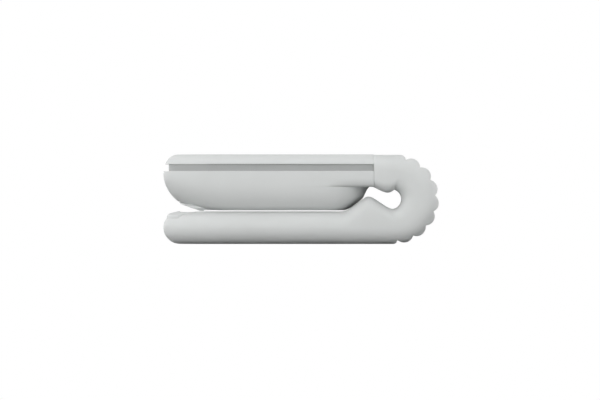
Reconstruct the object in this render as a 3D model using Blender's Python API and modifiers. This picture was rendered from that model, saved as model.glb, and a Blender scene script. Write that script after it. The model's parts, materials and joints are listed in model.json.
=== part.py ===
"""Fingertip pulse oximeter: a soft C-shaped clip with a rigid display module on its upper arm.

Frame: the origin is the centre of the resting face, +X points to the ribbed back,
-X to the finger mouth, +Y across the width and +Z up. Lengths below are millimetres,
and MM turns them into metres where a mesh is made.
"""

import math

import bmesh
import bpy
from mathutils import Matrix, Vector

MM = 0.001

# Overall size
NOSE_X = -33.0
HALF_WIDTH = 14.0
TOP_Z = 21.4
NOSE_RADIUS = 12.5
ARM_HEIGHT = 7.8
CLEARANCE = 0.15

# Ribbed loop at the back
LOOP_X = 22.3
LOOP_Z = 10.7
RIB_COUNT = 7
RIB_RADIUS = 2.17
RIB_CENTRE_RADIUS = 8.53
RIB_FIRST_ANGLE = -74.0
RIB_PITCH = 22.7
BLOCK_TOP_Z = 21.3
FLANK_RADIUS = 3.2
PARTING_X = 17.5

# Keyhole void inside the loop
VOID_X = 21.75
VOID_Z = 10.7
VOID_RADIUS = 2.36

# The two bending lines of the loop, at plus and minus 45 degrees, and their range
PIVOT_RADIUS = 5.5
WEDGE_ANGLE = 14.0

# Spring strips and flex cable, all in one slot round the loop
SLOT_INNER = 4.9
SLOT_OUTER = 5.9
SLOT_HALF_WIDTH = 7.3
STRIP_INNER = 5.2
STRIP_OUTER = 5.6
STRIP_Y = 5.2
STRIP_HALF_WIDTH = 1.7
STRIP_LOWER_X = 12.9
STRIP_UPPER_X = 11.6
STRIP_SCREW_LOWER_X = 14.4
STRIP_SCREW_UPPER_X = 13.2
FLEX_INNER = 5.3
FLEX_OUTER = 5.5
FLEX_HALF_WIDTH = 2.4
FLEX_LOWER_X = 12.15
FLEX_UPPER_X = 11.15

# Finger tunnel, an ellipse across the width
TUNNEL_Z = 9.3
TUNNEL_HALF_WIDTH = 8.2
TUNNEL_HALF_HEIGHT = 3.3
TUNNEL_END_X = 8.6
PAD_SKIN = 1.0
FLARE_X = -27.0
FLARE_TILT = 13.5

# Upper module
CASING_FRONT_X = -33.0
CASING_REAR_X = 17.35
HULL_BOTTOM_Z = 8.02
LEDGE_Z = 13.66
CASING_TOP_Z = 17.45
FRAME_TOP_Z = 19.1
FRAME_INSET = 1.3
BOW_X = -23.0
BOW_Z = 17.0
BILGE_Z = 14.3
BILGE_INSET = 3.8
STERN_X = 5.8
STERN_TIP_X = 16.6
COVER_EDGE_RADIUS = 2.2

# Things along the module
SENSOR_X = -14.0
FILTER_RADIUS = 2.3
PORT_RADIUS = FILTER_RADIUS + CLEARANCE
BUTTON_X = 8.4
BUTTON_RADIUS = 3.4
BUTTON_TRAVEL = 0.4
WINDOW_X = -11.0
WINDOW_HALF_LENGTH = 11.0
WINDOW_HALF_WIDTH = 7.8
BOARD_BOTTOM_Z = 16.7
BOARD_TOP_Z = 17.4
BOARD_SCREWS = ((-23.0, -9.9), (-23.0, 9.9), (8.6, -9.9), (8.6, 9.9))

# Lower arm
CAVITY_BOTTOM_Z = 1.25
CAVITY_TOP_Z = 6.2
CAVITY_REAR_X = 16.5
PAD_REAR_X = 9.4
PAD_HALF_WIDTH = 9.2
PAD_BOTTOM_Z = 5.1
CONTACTS = (-3.0, -1.0, 1.0, 3.0)
CONTACT_X = -27.5

# Name: base colour, roughness, metallic
FINISHES = {
    "soft_elastomer": ((0.58, 0.59, 0.60), 0.62, 0.0),
    "pad_silicone": ((0.52, 0.53, 0.54), 0.55, 0.0),
    "grey_plastic": ((0.58, 0.59, 0.60), 0.5, 0.0),
    "frame_plastic": ((0.42, 0.43, 0.44), 0.55, 0.0),
    "button_plastic": ((0.55, 0.56, 0.57), 0.45, 0.0),
    "window_glass": ((0.02, 0.02, 0.025), 0.1, 0.0),
    "filter_plastic": ((0.10, 0.01, 0.01), 0.15, 0.0),
    "board_green": ((0.02, 0.12, 0.05), 0.4, 0.0),
    "chip_black": ((0.02, 0.02, 0.02), 0.5, 0.0),
    "cell_foil": ((0.55, 0.56, 0.57), 0.35, 0.9),
    "screw_steel": ((0.55, 0.55, 0.55), 0.3, 1.0),
    "spring_steel": ((0.50, 0.50, 0.50), 0.3, 1.0),
    "contact_gold": ((0.80, 0.58, 0.25), 0.25, 1.0),
    "flex_polyimide": ((0.40, 0.17, 0.03), 0.4, 0.0),
    "led_resin": ((0.75, 0.75, 0.70), 0.2, 0.0),
    "foam_black": ((0.03, 0.03, 0.03), 0.8, 0.0),
    "connector_white": ((0.70, 0.68, 0.62), 0.5, 0.0),
}

# An outline's own two axes, as the turn from its plane and the direction it is extruded in
PLANES = {
    "XY": (Matrix.Identity(4), Vector((0, 0, 1))),
    "XZ": (Matrix.Rotation(math.pi / 2, 4, "X"), Vector((0, 1, 0))),
    "YZ": (Matrix(((0, 0, 1, 0), (1, 0, 0, 0), (0, 1, 0, 0), (0, 0, 0, 1))), Vector((1, 0, 0))),
}


# ---------------------------------------------------------------- outlines


def arc(centre, radius, start, end, steps, squash=1.0):
    """Points on an arc in degrees; squash scales its second axis."""
    points = []
    for step in range(steps + 1):
        angle = math.radians(start + (end - start) * step / steps)
        points.append((centre[0] + radius * math.cos(angle), centre[1] + squash * radius * math.sin(angle)))
    return points


def rounded_rectangle(low_u, high_u, low_v, high_v, radius, steps=4):
    """A rectangle outline with round corners."""
    return (
        arc((low_u + radius, low_v + radius), radius, 180, 270, steps)
        + arc((high_u - radius, low_v + radius), radius, 270, 360, steps)
        + arc((high_u - radius, high_v - radius), radius, 0, 90, steps)
        + arc((low_u + radius, high_v - radius), radius, 90, 180, steps)
    )


def nose_plan(front, rear, half_width, radius, steps=8):
    """Plan of an arm: round at the nose, square at the rear."""
    return (
        [(rear, -half_width), (rear, half_width)]
        + arc((front + radius, half_width - radius), radius, 90, 180, steps)
        + arc((front + radius, radius - half_width), radius, 180, 270, steps)
    )


def inset_nose_plan(inset, rear, steps=8):
    """The arm's own plan, drawn in by inset all round the nose and sides."""
    return nose_plan(NOSE_X + inset, rear, HALF_WIDTH - inset, NOSE_RADIUS - inset, steps)


def boat_plan():
    """Plan of the bowl under the module: the nose, and a stern rounded to a tip."""
    stern = []
    for step in range(1, 12):
        angle = math.radians(-90 + 180 * step / 12)
        stern.append(
            (
                STERN_X + (STERN_TIP_X - STERN_X) * math.cos(angle),
                HALF_WIDTH * math.sin(angle),
            )
        )
    nose = nose_plan(NOSE_X, STERN_X, HALF_WIDTH, NOSE_RADIUS)
    return nose[:1] + stern + nose[1:]


def rib_arcs(steps=5):
    """The scalloped outside of the loop, from the lowest rib to the highest."""
    half_pitch = math.radians(RIB_PITCH / 2)
    reach = RIB_CENTRE_RADIUS * math.sin(half_pitch)
    notch = RIB_CENTRE_RADIUS * math.cos(half_pitch) + math.sqrt(RIB_RADIUS**2 - reach**2)
    out = notch * math.cos(half_pitch) - RIB_CENTRE_RADIUS
    swing = math.degrees(math.atan2(notch * math.sin(half_pitch), out))
    points = []
    for index in range(RIB_COUNT):
        turn = RIB_FIRST_ANGLE + index * RIB_PITCH
        angle = math.radians(turn)
        centre = (
            LOOP_X + RIB_CENTRE_RADIUS * math.cos(angle),
            LOOP_Z + RIB_CENTRE_RADIUS * math.sin(angle),
        )
        rib = arc(centre, RIB_RADIUS, turn - swing, turn + swing, steps)
        points += rib if index == 0 else rib[1:]
    return points


def finger_stop():
    """Top of the lower arm behind the finger: from the void over the stop to the flat."""
    return [
        (20.6, 8.85),
        (19.0, 9.92),
        (17.4, 10.9),
        (16.5, 11.26),
        (15.95, 11.33),
        (15.2, 10.85),
        (14.2, 10.1),
        (13.0, 9.2),
        (11.8, 8.4),
        (10.6, 7.9),
        (9.4, 7.7),
    ]


def loop_profile():
    """Side view of the whole loop, with the finger stop, the void and the rear block."""
    void = arc((VOID_X, VOID_Z), VOID_RADIUS, 70, -90, 10)
    return (
        [(5.0, 0.0), (21.9, 0.0), (22.6, 0.25)]
        + rib_arcs()
        + [(24.7, 20.8), (23.7, BLOCK_TOP_Z), (PARTING_X, BLOCK_TOP_Z), (PARTING_X, 13.58)]
        + [(18.6, 13.05), (19.7, 12.5), (20.4, 12.27), (21.0, 12.26), (21.7, 12.55)]
        + void
        + finger_stop()
        + [(5.0, ARM_HEIGHT / 2)]
    )


def pivot(sign):
    """The lower (-1) or upper (+1) bending line, as its X and Z."""
    reach = PIVOT_RADIUS * math.cos(math.radians(45))
    return (LOOP_X + reach, LOOP_Z + sign * reach)


def bend_edge(sign, side):
    """Edge of a piece at a bending line, from the void to well outside the loop.

    sign picks the bending line. side is -1 below the line and +1 above it: the
    edge keeps a clearance as far as the line and then falls back, so that the
    two pieces close up as the clip opens.
    """
    ray = math.radians(sign * 45)
    along = Vector((math.cos(ray), math.sin(ray)))
    across = Vector((-along.y, along.x)) * side
    inner = Vector((LOOP_X, LOOP_Z)) + along * 0.4 + across * CLEARANCE
    turn = Vector(pivot(sign)) + across * CLEARANCE
    fall = math.radians(sign * 45 + side * WEDGE_ANGLE / 2)
    outer = turn + Vector((math.cos(fall), math.sin(fall))) * 14
    return [tuple(inner), tuple(turn), tuple(outer)]


def band_profile(inner, outer, lower_x, upper_x, steps=10):
    """Side view of a strip that runs along the lower arm, round the loop and back."""
    centre = (LOOP_X, LOOP_Z)
    return (
        [(lower_x, LOOP_Z - outer)]
        + arc(centre, outer, -90, 90, steps)
        + [(upper_x, LOOP_Z + outer), (upper_x, LOOP_Z + inner)]
        + arc(centre, inner, 90, -90, steps)
        + [(lower_x, LOOP_Z - inner)]
    )


def casing_profile():
    """Side view of the upper casing, bow to stern, nested over the finger stop."""
    lift = 0.3
    bow = arc((BOW_X, BOW_Z), BOW_X - CASING_FRONT_X, 180, 270, 8, (BOW_Z - HULL_BOTTOM_Z) / 10.0)
    stern = [(x, z + lift) for x, z in reversed(finger_stop()) if 9.5 < x < 15.5]
    return (
        [(CASING_REAR_X, CASING_TOP_Z), (CASING_FRONT_X, CASING_TOP_Z)]
        + bow
        + [(9.6, HULL_BOTTOM_Z)]
        + stern
        + [(15.6, 12.5), (16.1, 13.35), (16.6, LEDGE_Z), (CASING_REAR_X, LEDGE_Z)]
    )


def hull_section():
    """Cross-section of the upper casing: straight flanks that turn in below."""
    depth = BILGE_Z - HULL_BOTTOM_Z
    inner = HALF_WIDTH - BILGE_INSET
    right = arc((inner, BILGE_Z), BILGE_INSET, 0, -90, 6, depth / BILGE_INSET)
    left = [(-y, z) for y, z in reversed(right)]
    return [(-HALF_WIDTH, CASING_TOP_Z + 1), (HALF_WIDTH, CASING_TOP_Z + 1)] + right + left


def tunnel_section(grow=0.0):
    """Cross-section of the finger tunnel, grown by a wall where asked."""
    width = TUNNEL_HALF_WIDTH + grow
    return arc((0.0, TUNNEL_Z), width, 0, 345, 23, (TUNNEL_HALF_HEIGHT + grow) / width)


# ---------------------------------------------------------------- solids


def link_mesh(name, bm, collection):
    """A new object from a bmesh, in the given collection."""
    bmesh.ops.recalc_face_normals(bm, faces=bm.faces)
    mesh = bpy.data.meshes.new(name)
    bm.to_mesh(mesh)
    bm.free()
    obj = bpy.data.objects.new(name, mesh)
    collection.objects.link(obj)
    return obj


def outline_solid(name, outline, low, high, collection, plane="XY", rims=(0.0, 0.0), segments=3):
    """An outline extruded from low to high, its two rims rounded where asked."""
    turn, axis = PLANES[plane]
    curve = bpy.data.curves.new(name, "CURVE")
    curve.dimensions = "2D"
    curve.fill_mode = "BOTH"
    curve.extrude = (high - low) / 2 * MM
    spline = curve.splines.new("POLY")
    spline.points.add(len(outline) - 1)
    for point, (u, v) in zip(spline.points, outline):
        point.co = (u * MM, v * MM, 0.0, 1.0)
    spline.use_cyclic_u = True
    blank = bpy.data.objects.new(name, curve)
    collection.objects.link(blank)
    blank.matrix_world = Matrix.Translation(axis * (low + high) / 2 * MM) @ turn
    bpy.context.view_layer.update()
    filled = bpy.data.meshes.new_from_object(blank.evaluated_get(bpy.context.evaluated_depsgraph_get()))
    filled.transform(blank.matrix_world)
    bpy.data.objects.remove(blank, do_unlink=True)
    bm = bmesh.new()
    bm.from_mesh(filled)
    bmesh.ops.remove_doubles(bm, verts=bm.verts, dist=0.001 * MM)
    bmesh.ops.dissolve_limit(bm, angle_limit=0.001, verts=bm.verts, edges=bm.edges)
    for level, radius in zip((low, high), rims):
        round_rim(bm, axis, level, radius, segments)
    return link_mesh(name, bm, collection)


def round_rim(bm, axis, level, radius, segments):
    """Rounds the edges of the flat face that lies at level along axis."""
    if not radius:
        return
    rim = [
        edge for edge in bm.edges if all(abs(axis.dot(v.co) - level * MM) < 0.001 * MM for v in edge.verts)
    ]
    bmesh.ops.bevel(
        bm,
        geom=rim,
        offset=radius * MM,
        offset_type="OFFSET",
        segments=segments,
        profile=0.5,
        affect="EDGES",
        clamp_overlap=False,
        material=-1,
    )


def drum(name, centre, radius, low, high, collection, sides=24):
    """An upright cylinder from low to high at centre (X, Y)."""
    bm = bmesh.new()
    place = Matrix.Translation(Vector((centre[0], centre[1], (low + high) / 2)) * MM)
    bmesh.ops.create_cone(
        bm,
        cap_ends=True,
        segments=sides,
        radius1=radius * MM,
        radius2=radius * MM,
        depth=(high - low) * MM,
        matrix=place,
    )
    return link_mesh(name, bm, collection)


def box(name, low, high, collection):
    """A box between two opposite corners."""
    bm = bmesh.new()
    middle = (Vector(low) + Vector(high)) / 2
    size = Vector(high) - Vector(low)
    place = Matrix.Translation(middle * MM) @ Matrix.Diagonal((size * MM).to_4d())
    bmesh.ops.create_cube(bm, size=1.0, matrix=place)
    return link_mesh(name, bm, collection)


def turned(name, centre, steps, collection, sides=20):
    """A stack of upright discs in one piece: steps lists (radius, Z) down its outer side."""
    profile = bpy.data.meshes.new(name)
    bm = bmesh.new()
    start = bm.verts.new((0.0, 0.0, steps[0][1] * MM))
    for radius, z in steps:
        corner = bm.verts.new((radius * MM, 0.0, z * MM))
        bm.edges.new((start, corner))
        start = corner
    foot = bm.verts.new((0.0, 0.0, steps[-1][1] * MM))
    bm.edges.new((start, foot))
    bm.to_mesh(profile)
    bm.free()
    obj = bpy.data.objects.new(name, profile)
    collection.objects.link(obj)
    obj.location = (centre[0] * MM, centre[1] * MM, 0.0)
    screw = obj.modifiers.new("turn", "SCREW")
    screw.steps = sides
    screw.render_steps = sides
    screw.use_merge_vertices = True
    screw.merge_threshold = 0.00001
    return obj


def boolean(obj, other, operation):
    """Adds one exact Boolean of other to obj."""
    modifier = obj.modifiers.new(f"{operation.lower()}_{other.name}", "BOOLEAN")
    modifier.operation = operation
    modifier.solver = "EXACT"
    modifier.object = other


def cut(obj, *cutters):
    """Takes each cutter out of obj."""
    for cutter in cutters:
        boolean(obj, cutter, "DIFFERENCE")


def join(obj, *others):
    """Adds each other solid to obj."""
    for other in others:
        boolean(obj, other, "UNION")


def keep(obj, *others):
    """Keeps only what obj shares with each other solid."""
    for other in others:
        boolean(obj, other, "INTERSECT")


def make_finish(name):
    """One Principled material from FINISHES."""
    colour, roughness, metallic = FINISHES[name]
    material = bpy.data.materials.new(name)
    material.use_nodes = True
    shader = material.node_tree.nodes["Principled BSDF"]
    shader.inputs["Base Color"].default_value = (*colour, 1.0)
    shader.inputs["Roughness"].default_value = roughness
    shader.inputs["Metallic"].default_value = metallic
    return material


# ---------------------------------------------------------------- shared cutters


def tunnel_cutter(tools, name, front, grow=0.0):
    """The finger tunnel from its front to the finger stop, grown by a wall where asked."""
    return outline_solid(name, tunnel_section(grow), front, TUNNEL_END_X, tools, "YZ")


def slot_cutter(tools):
    """The slot that the spring strips and the flex cable run in."""
    outline = band_profile(SLOT_INNER, SLOT_OUTER, 16.3, 15.8)
    return outline_solid("strip_slot", outline, -SLOT_HALF_WIDTH, SLOT_HALF_WIDTH, tools, "XZ")


def beyond(tools, name, edge, far):
    """A cutter that covers everything past a bend edge, closed round the far points."""
    return outline_solid(name, edge + far, -HALF_WIDTH - 2, HALF_WIDTH + 2, tools, "XZ")


# ---------------------------------------------------------------- soft clip


def loop_blank(name, collection, tools):
    """The whole loop as one solid, its side rims rounded and its flanks rounded with the arms."""
    loop = outline_solid(name, loop_profile(), -HALF_WIDTH, HALF_WIDTH, collection, "XZ", (0.8, 0.8), 2)
    outline = rounded_rectangle(-HALF_WIDTH, HALF_WIDTH, 0.0, TOP_Z, FLANK_RADIUS, 5)
    keep(loop, outline_solid(f"{name}_flanks", outline, -10.0, 50.0, tools, "YZ"))
    return loop


def lower_sleeve(parts, tools, slot):
    """Soft skin of the lower arm, with the finger stop and the lowest ribs."""
    half = ARM_HEIGHT / 2 - 0.05
    sleeve = outline_solid(
        "lower_sleeve", inset_nose_plan(0.0, 20.0), 0.0, ARM_HEIGHT, parts, "XY", (half, half), 5
    )
    rear = loop_blank("sleeve_rear", tools, tools)
    past = beyond(tools, "past_lower_bend", bend_edge(-1, -1), [(40, 30), (14, 30), (14, 13)])
    cut(rear, past)
    join(sleeve, rear)
    cavity = outline_solid(
        "sleeve_cavity", inset_nose_plan(3.4, CAVITY_REAR_X), CAVITY_BOTTOM_Z, CAVITY_TOP_Z, tools
    )
    opening = pad_blank("sleeve_opening", tools, tools, CLEARANCE)
    cut(sleeve, cavity, opening, slot)
    for index, y in enumerate(CONTACTS):
        cut(sleeve, drum(f"contact_hole_{index + 1}", (CONTACT_X, y), 0.75, -1.0, 3.0, tools))


def back_ribs(parts, tools, slot):
    """The middle of the loop, between the two bending lines."""
    ribs = loop_blank("back_ribs", parts, tools)
    below = beyond(
        tools, "below_lower_bend", bend_edge(-1, 1), [(50, -5), (-5, -5), (-5, 30), (20, 30)]
    )
    above = beyond(
        tools, "above_upper_bend", bend_edge(1, -1), [(50, 40), (-5, 40), (-5, -5), (20, -5)]
    )
    cut(ribs, below, above, slot)


def rear_block(parts, tools, slot):
    """The soft block behind the module, with the highest ribs."""
    block = loop_blank("rear_block", parts, tools)
    below = beyond(tools, "past_upper_bend", bend_edge(1, 1), [(50, -5), (-5, -5), (-5, 13.2)])
    cut(block, below, slot)


# ---------------------------------------------------------------- lower arm


def pad_blank(name, collection, tools, grow=0.0):
    """Outside of the lower pad: a block in the arm and a lip over the nose."""
    side = PAD_HALF_WIDTH + grow
    low = (-31.0, -side, PAD_BOTTOM_Z - grow)
    block = box(name, low, (PAD_REAR_X + grow, side, 7.6 + grow * 8), collection)
    plan = outline_solid(f"{name}_plan", inset_nose_plan(2.8 - grow, 20.0), 4.0, 10.0, tools)
    keep(block, plan)
    profile = [
        (-33.0, 6.5 - grow),
        (-33.0, 6.77 + grow),
        (-29.8, 8.3 + grow),
        (-29.5 + grow, 8.25 + grow),
        (-29.2 + grow, 7.6),
        (-24.0, 7.6),
        (-24.0, 6.5 - grow),
    ]
    lip = outline_solid(f"{name}_lip", profile, -side, side, tools, "XZ")
    lip_plan = outline_solid(f"{name}_lip_plan", inset_nose_plan(0.8 - grow, 20.0), 4.0, 10.0, tools)
    keep(lip, lip_plan)
    join(block, lip)
    return block


def lower_pad(parts, tools, trough, flare):
    """Soft finger pad with its trough and the hole over the sensor."""
    pad = pad_blank("lower_pad", parts, tools)
    hole = drum("sensor_hole", (SENSOR_X, 0.0), PORT_RADIUS, 4.0, 9.0, tools)
    cut(pad, trough, flare, hole)


def lower_tray(parts, tools):
    """Stiff tray that holds the cell, with a block at the rear for the strips."""
    tray = outline_solid("lower_tray", inset_nose_plan(3.7, 16.2), 1.4, 4.3, parts)
    hollow = outline_solid("tray_hollow", inset_nose_plan(4.6, 12.4), 2.2, 6.0, tools)
    block = box("tray_block", (12.0, -9.0, 1.9), (16.0, 9.0, 4.95), tools)
    cut(tray, hollow)
    join(tray, block)
    for index, y in enumerate(CONTACTS):
        cut(tray, drum(f"tray_hole_{index + 1}", (CONTACT_X, y), 0.75, 0.0, 3.0, tools))
    for sign in (-1, 1):
        place = (STRIP_SCREW_LOWER_X, sign * STRIP_Y)
        cut(tray, drum(f"tray_thread_{sign + 2}", place, 0.6, 2.3, 7.0, tools))


def lower_inner_pieces(parts):
    """Cell, board, sensor, its window, connector and charging contacts."""
    cell = rounded_rectangle(-22.5, 11.0, -8.8, 8.8, 1.0)
    outline_solid("battery_cell", cell, 2.35, 4.15, parts, "XY", (0.4, 0.4), 2)
    board = rounded_rectangle(-24.0, 11.8, -8.5, 8.5, 1.5)
    outline_solid("sensor_board", board, 4.42, 4.92, parts)
    box("photodiode", (SENSOR_X - 1.5, -1.5, 5.05), (SENSOR_X + 1.5, 1.5, 5.4), parts)
    drum("sensor_window", (SENSOR_X, 0.0), FILTER_RADIUS, 5.52, 5.95, parts)
    box("lower_connector", (10.3, -2.8, 5.05), (11.7, 2.8, 5.75), parts)
    for index, y in enumerate(CONTACTS):
        drum(f"charge_contact_{index + 1}", (CONTACT_X, y), 0.6, 0.15, 2.6, parts, 16)


# ---------------------------------------------------------------- loop springs


def spring_strips(parts, tools):
    """Two spring-steel strips that hold the clip closed, one each side of the cable."""
    outline = band_profile(STRIP_INNER, STRIP_OUTER, STRIP_LOWER_X, STRIP_UPPER_X, 14)
    for sign, side in ((-1, "right"), (1, "left")):
        middle = sign * STRIP_Y
        strip = outline_solid(
            f"spring_strip_{side}",
            outline,
            middle - STRIP_HALF_WIDTH,
            middle + STRIP_HALF_WIDTH,
            parts,
            "XZ",
        )
        low = drum(f"strip_hole_low_{side}", (STRIP_SCREW_LOWER_X, middle), 0.6, 4.0, 7.0, tools)
        high = drum(f"strip_hole_high_{side}", (STRIP_SCREW_UPPER_X, middle), 0.6, 15.0, 17.5, tools)
        cut(strip, low, high)


def flex_cable(parts):
    """Flat cable between the two boards."""
    outline = band_profile(FLEX_INNER, FLEX_OUTER, FLEX_LOWER_X, FLEX_UPPER_X, 14)
    outline_solid("flex_cable", outline, -FLEX_HALF_WIDTH, FLEX_HALF_WIDTH, parts, "XZ")


def strip_screws(parts):
    """Screws that hold the strips to the tray below and to the casing above."""
    low = [(0.9, 6.1), (0.9, 5.62), (0.45, 5.62), (0.45, 2.5)]
    high = [(0.9, 16.95), (0.9, 16.42), (0.45, 16.42), (0.45, 13.8)]
    for y, side in ((-STRIP_Y, "right"), (STRIP_Y, "left")):
        turned(f"strip_screw_lower_{side}", (STRIP_SCREW_LOWER_X, y), low, parts, 16)
        turned(f"strip_screw_upper_{side}", (STRIP_SCREW_UPPER_X, y), high, parts, 16)


# ---------------------------------------------------------------- upper module


def upper_casing(parts, tools, tunnel, slot):
    """Boat-shaped lower half of the module, hollow above and arched below."""
    casing = outline_solid(
        "upper_casing", casing_profile(), -HALF_WIDTH, HALF_WIDTH, parts, "XZ"
    )
    section = outline_solid("hull_section", hull_section(), -40.0, 40.0, tools, "YZ")
    slab = outline_solid(
        "casing_plan", inset_nose_plan(0.0, CASING_REAR_X), LEDGE_Z, CASING_TOP_Z + 1, tools
    )
    bowl = outline_solid("bowl_plan", boat_plan(), 5.0, LEDGE_Z + 0.4, tools)
    join(slab, bowl)
    keep(casing, section, slab)
    hollow = outline_solid("casing_hollow", inset_nose_plan(2.0, 10.9), 14.6, 19.0, tools)
    for index, place in enumerate(BOARD_SCREWS):
        cut(hollow, drum(f"boss_{index + 1}", place, 1.5, 14.0, BOARD_BOTTOM_Z - CLEARANCE, tools))
    shelf = box("casing_shelf", (10.5, -12.0, 15.75), (15.9, 12.0, 19.0), tools)
    relief = box("connector_relief", (9.0, -3.2, 15.2), (12.4, 3.2, 19.0), tools)
    port = drum("emitter_port", (SENSOR_X, 0.0), PORT_RADIUS, 12.0, 15.0, tools)
    pad_room = upper_pad_blank("pad_room", tools, CLEARANCE)
    cut(casing, hollow, shelf, relief, port, tunnel, pad_room, slot)
    for index, place in enumerate(BOARD_SCREWS):
        cut(casing, drum(f"boss_thread_{index + 1}", place, 0.62, 12.9, 17.0, tools))
    for sign in (-1, 1):
        place = (STRIP_SCREW_UPPER_X, sign * STRIP_Y)
        cut(casing, drum(f"shelf_thread_{sign + 2}", place, 0.6, 13.6, 16.5, tools))


def upper_pad_blank(name, collection, grow=0.0):
    """Outside of the upper pad: the tunnel's skin with a lip at the mouth."""
    side = PAD_HALF_WIDTH - 0.2 + grow
    outline = [
        (-28.8 - grow, 9.4 - grow),
        (-24.2, 7.75 - grow),
        (-23.5 + grow, 8.1 - grow),
        (-23.5 + grow, 12.0),
        (-28.8 - grow, 12.0),
    ]
    return outline_solid(name, outline, -side, side, collection, "XZ")


def upper_pad(parts, tools, tunnel):
    """Soft pad in the arch of the casing, with the hole under the emitters."""
    pad = outline_solid(
        "upper_pad", tunnel_section(PAD_SKIN - CLEARANCE), -31.5, TUNNEL_END_X - 0.2, parts, "YZ"
    )
    bow = outline_solid("pad_bow", casing_profile(), -HALF_WIDTH, HALF_WIDTH, tools, "XZ")
    lip = upper_pad_blank("pad_lip", tools)
    lip_section = outline_solid("pad_lip_section", tunnel_section(PAD_SKIN - CLEARANCE), -40, 40, tools, "YZ")
    hole = drum("emitter_hole", (SENSOR_X, 0.0), PORT_RADIUS, 11.0, 15.0, tools)
    keep(lip, lip_section)
    keep(pad, bow)
    join(pad, lip)
    cut(pad, tunnel, hole)


def mid_frame(parts, tools):
    """Recessed band between the casing and the cover."""
    frame = outline_solid(
        "mid_frame",
        inset_nose_plan(FRAME_INSET, CASING_REAR_X - 0.1),
        CASING_TOP_Z + CLEARANCE,
        FRAME_TOP_Z - CLEARANCE,
        parts,
    )
    hollow = outline_solid("frame_hollow", inset_nose_plan(2.3, CASING_REAR_X - 1.2), 17.0, 20.0, tools)
    cut(frame, hollow)


def top_cover(parts, tools):
    """Cover with the openings for the window and the button."""
    cover = outline_solid(
        "top_cover",
        inset_nose_plan(0.3, CASING_REAR_X + 4),
        FRAME_TOP_Z,
        TOP_Z,
        parts,
        "XY",
        (0.0, COVER_EDGE_RADIUS),
        4,
    )
    hollow = outline_solid("cover_hollow", inset_nose_plan(2.9, CASING_REAR_X - 1.3), 18.0, 20.35, tools)
    pane = outline_solid("window_opening", window_outline(CLEARANCE), 19.0, 23.0, tools)
    hole = drum("button_opening", (BUTTON_X, 0.0), BUTTON_RADIUS + 0.2, 19.0, 23.0, tools, 40)
    rear = box("cover_rear", (CASING_REAR_X, -20.0, 15.0), (30.0, 20.0, 25.0), tools)
    cut(cover, rear, hollow, pane, hole)


def window_outline(grow=0.0):
    """Plan of the display window."""
    length = WINDOW_HALF_LENGTH + grow
    width = WINDOW_HALF_WIDTH + grow
    return rounded_rectangle(WINDOW_X - length, WINDOW_X + length, -width, width, 2.0 + grow, 5)


def display_pieces(parts, tools):
    """Window, its foam gasket and the display under it."""
    outline_solid("display_window", window_outline(), 20.5, 21.3, parts, "XY", (0.0, 0.15), 2)
    gasket = outline_solid("display_gasket", window_outline(-0.1), 19.85, 20.35, parts)
    cut(gasket, outline_solid("gasket_opening", window_outline(-1.3), 19.0, 21.0, tools))
    outline_solid("display_panel", window_outline(0.4), 18.5, 19.7, parts)


def main_board(parts, tools):
    """Main circuit board, held by four screws."""
    board = outline_solid(
        "main_board", nose_plan(-29.5, 10.4, 11.4, 9.5), BOARD_BOTTOM_Z, BOARD_TOP_Z, parts
    )
    for index, place in enumerate(BOARD_SCREWS):
        cut(board, drum(f"board_hole_{index + 1}", place, 0.65, 16.0, 18.0, tools))


def board_pieces(parts):
    """Chips, switch, connector and screws on the main board."""
    foot = BOARD_TOP_Z + 0.1
    box("processor_chip", (-19.0, -3.5, foot), (-12.0, 3.5, 18.3), parts)
    box("radio_chip", (-8.0, -2.5, foot), (-3.0, 2.5, 18.3), parts)
    box("power_chip", (0.0, -6.5, foot), (3.0, -3.5, 18.2), parts)
    box("button_switch", (BUTTON_X - 1.6, -1.6, foot), (BUTTON_X + 1.6, 1.6, 18.6), parts)
    box("main_connector", (9.4, -2.9, 15.75), (11.0, 2.9, 16.55), parts)
    outline_solid("sounder", arc((5.0, 7.2), 2.0, 0, 345, 23), foot, 18.9, parts)
    steps = [(1.05, 18.0), (1.05, 17.52), (0.5, 17.52), (0.5, 13.1)]
    for index, place in enumerate(BOARD_SCREWS):
        turned(f"board_screw_{index + 1}", place, steps, parts, 16)


def emitter_pieces(parts):
    """Emitter board, the two light sources and their window."""
    box("emitter_board", (SENSOR_X - 4, -3.5, 14.75), (SENSOR_X + 4, 3.5, 15.25), parts)
    box("red_led", (SENSOR_X - 0.6, -1.5, 14.15), (SENSOR_X + 0.6, -0.3, 14.65), parts)
    box("infrared_led", (SENSOR_X - 0.6, 0.3, 14.15), (SENSOR_X + 0.6, 1.5, 14.65), parts)
    drum("emitter_window", (SENSOR_X, 0.0), FILTER_RADIUS, 12.65, 13.95, parts)


def power_button(parts):
    """Round button, flush with the cover, with a collar under it and a stem."""
    steps = [
        (BUTTON_RADIUS - 0.3, 21.35),
        (BUTTON_RADIUS, 21.1),
        (BUTTON_RADIUS, 20.15),
        (BUTTON_RADIUS + 0.8, 20.15),
        (BUTTON_RADIUS + 0.8, 19.8),
        (1.0, 19.8),
        (1.0, 18.7 + BUTTON_TRAVEL + 0.1),
    ]
    turned("power_button", (BUTTON_X, 0.0), steps, parts, 40)


# ---------------------------------------------------------------- assembly


def flare_cutter(tools):
    """The mouth of the trough, tilted so that its floor rises to the lip."""
    flare = outline_solid("mouth_flare", tunnel_section(), -12.0, 0.0, tools, "YZ")
    low = TUNNEL_Z - TUNNEL_HALF_HEIGHT
    hinge = Matrix.Translation(Vector((0.0, 0.0, -low)) * MM)
    tilt = Matrix.Rotation(math.radians(FLARE_TILT), 4, "Y")
    place = Matrix.Translation(Vector((FLARE_X, 0.0, low)) * MM)
    flare.data.transform(place @ tilt @ hinge)
    return flare


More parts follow.
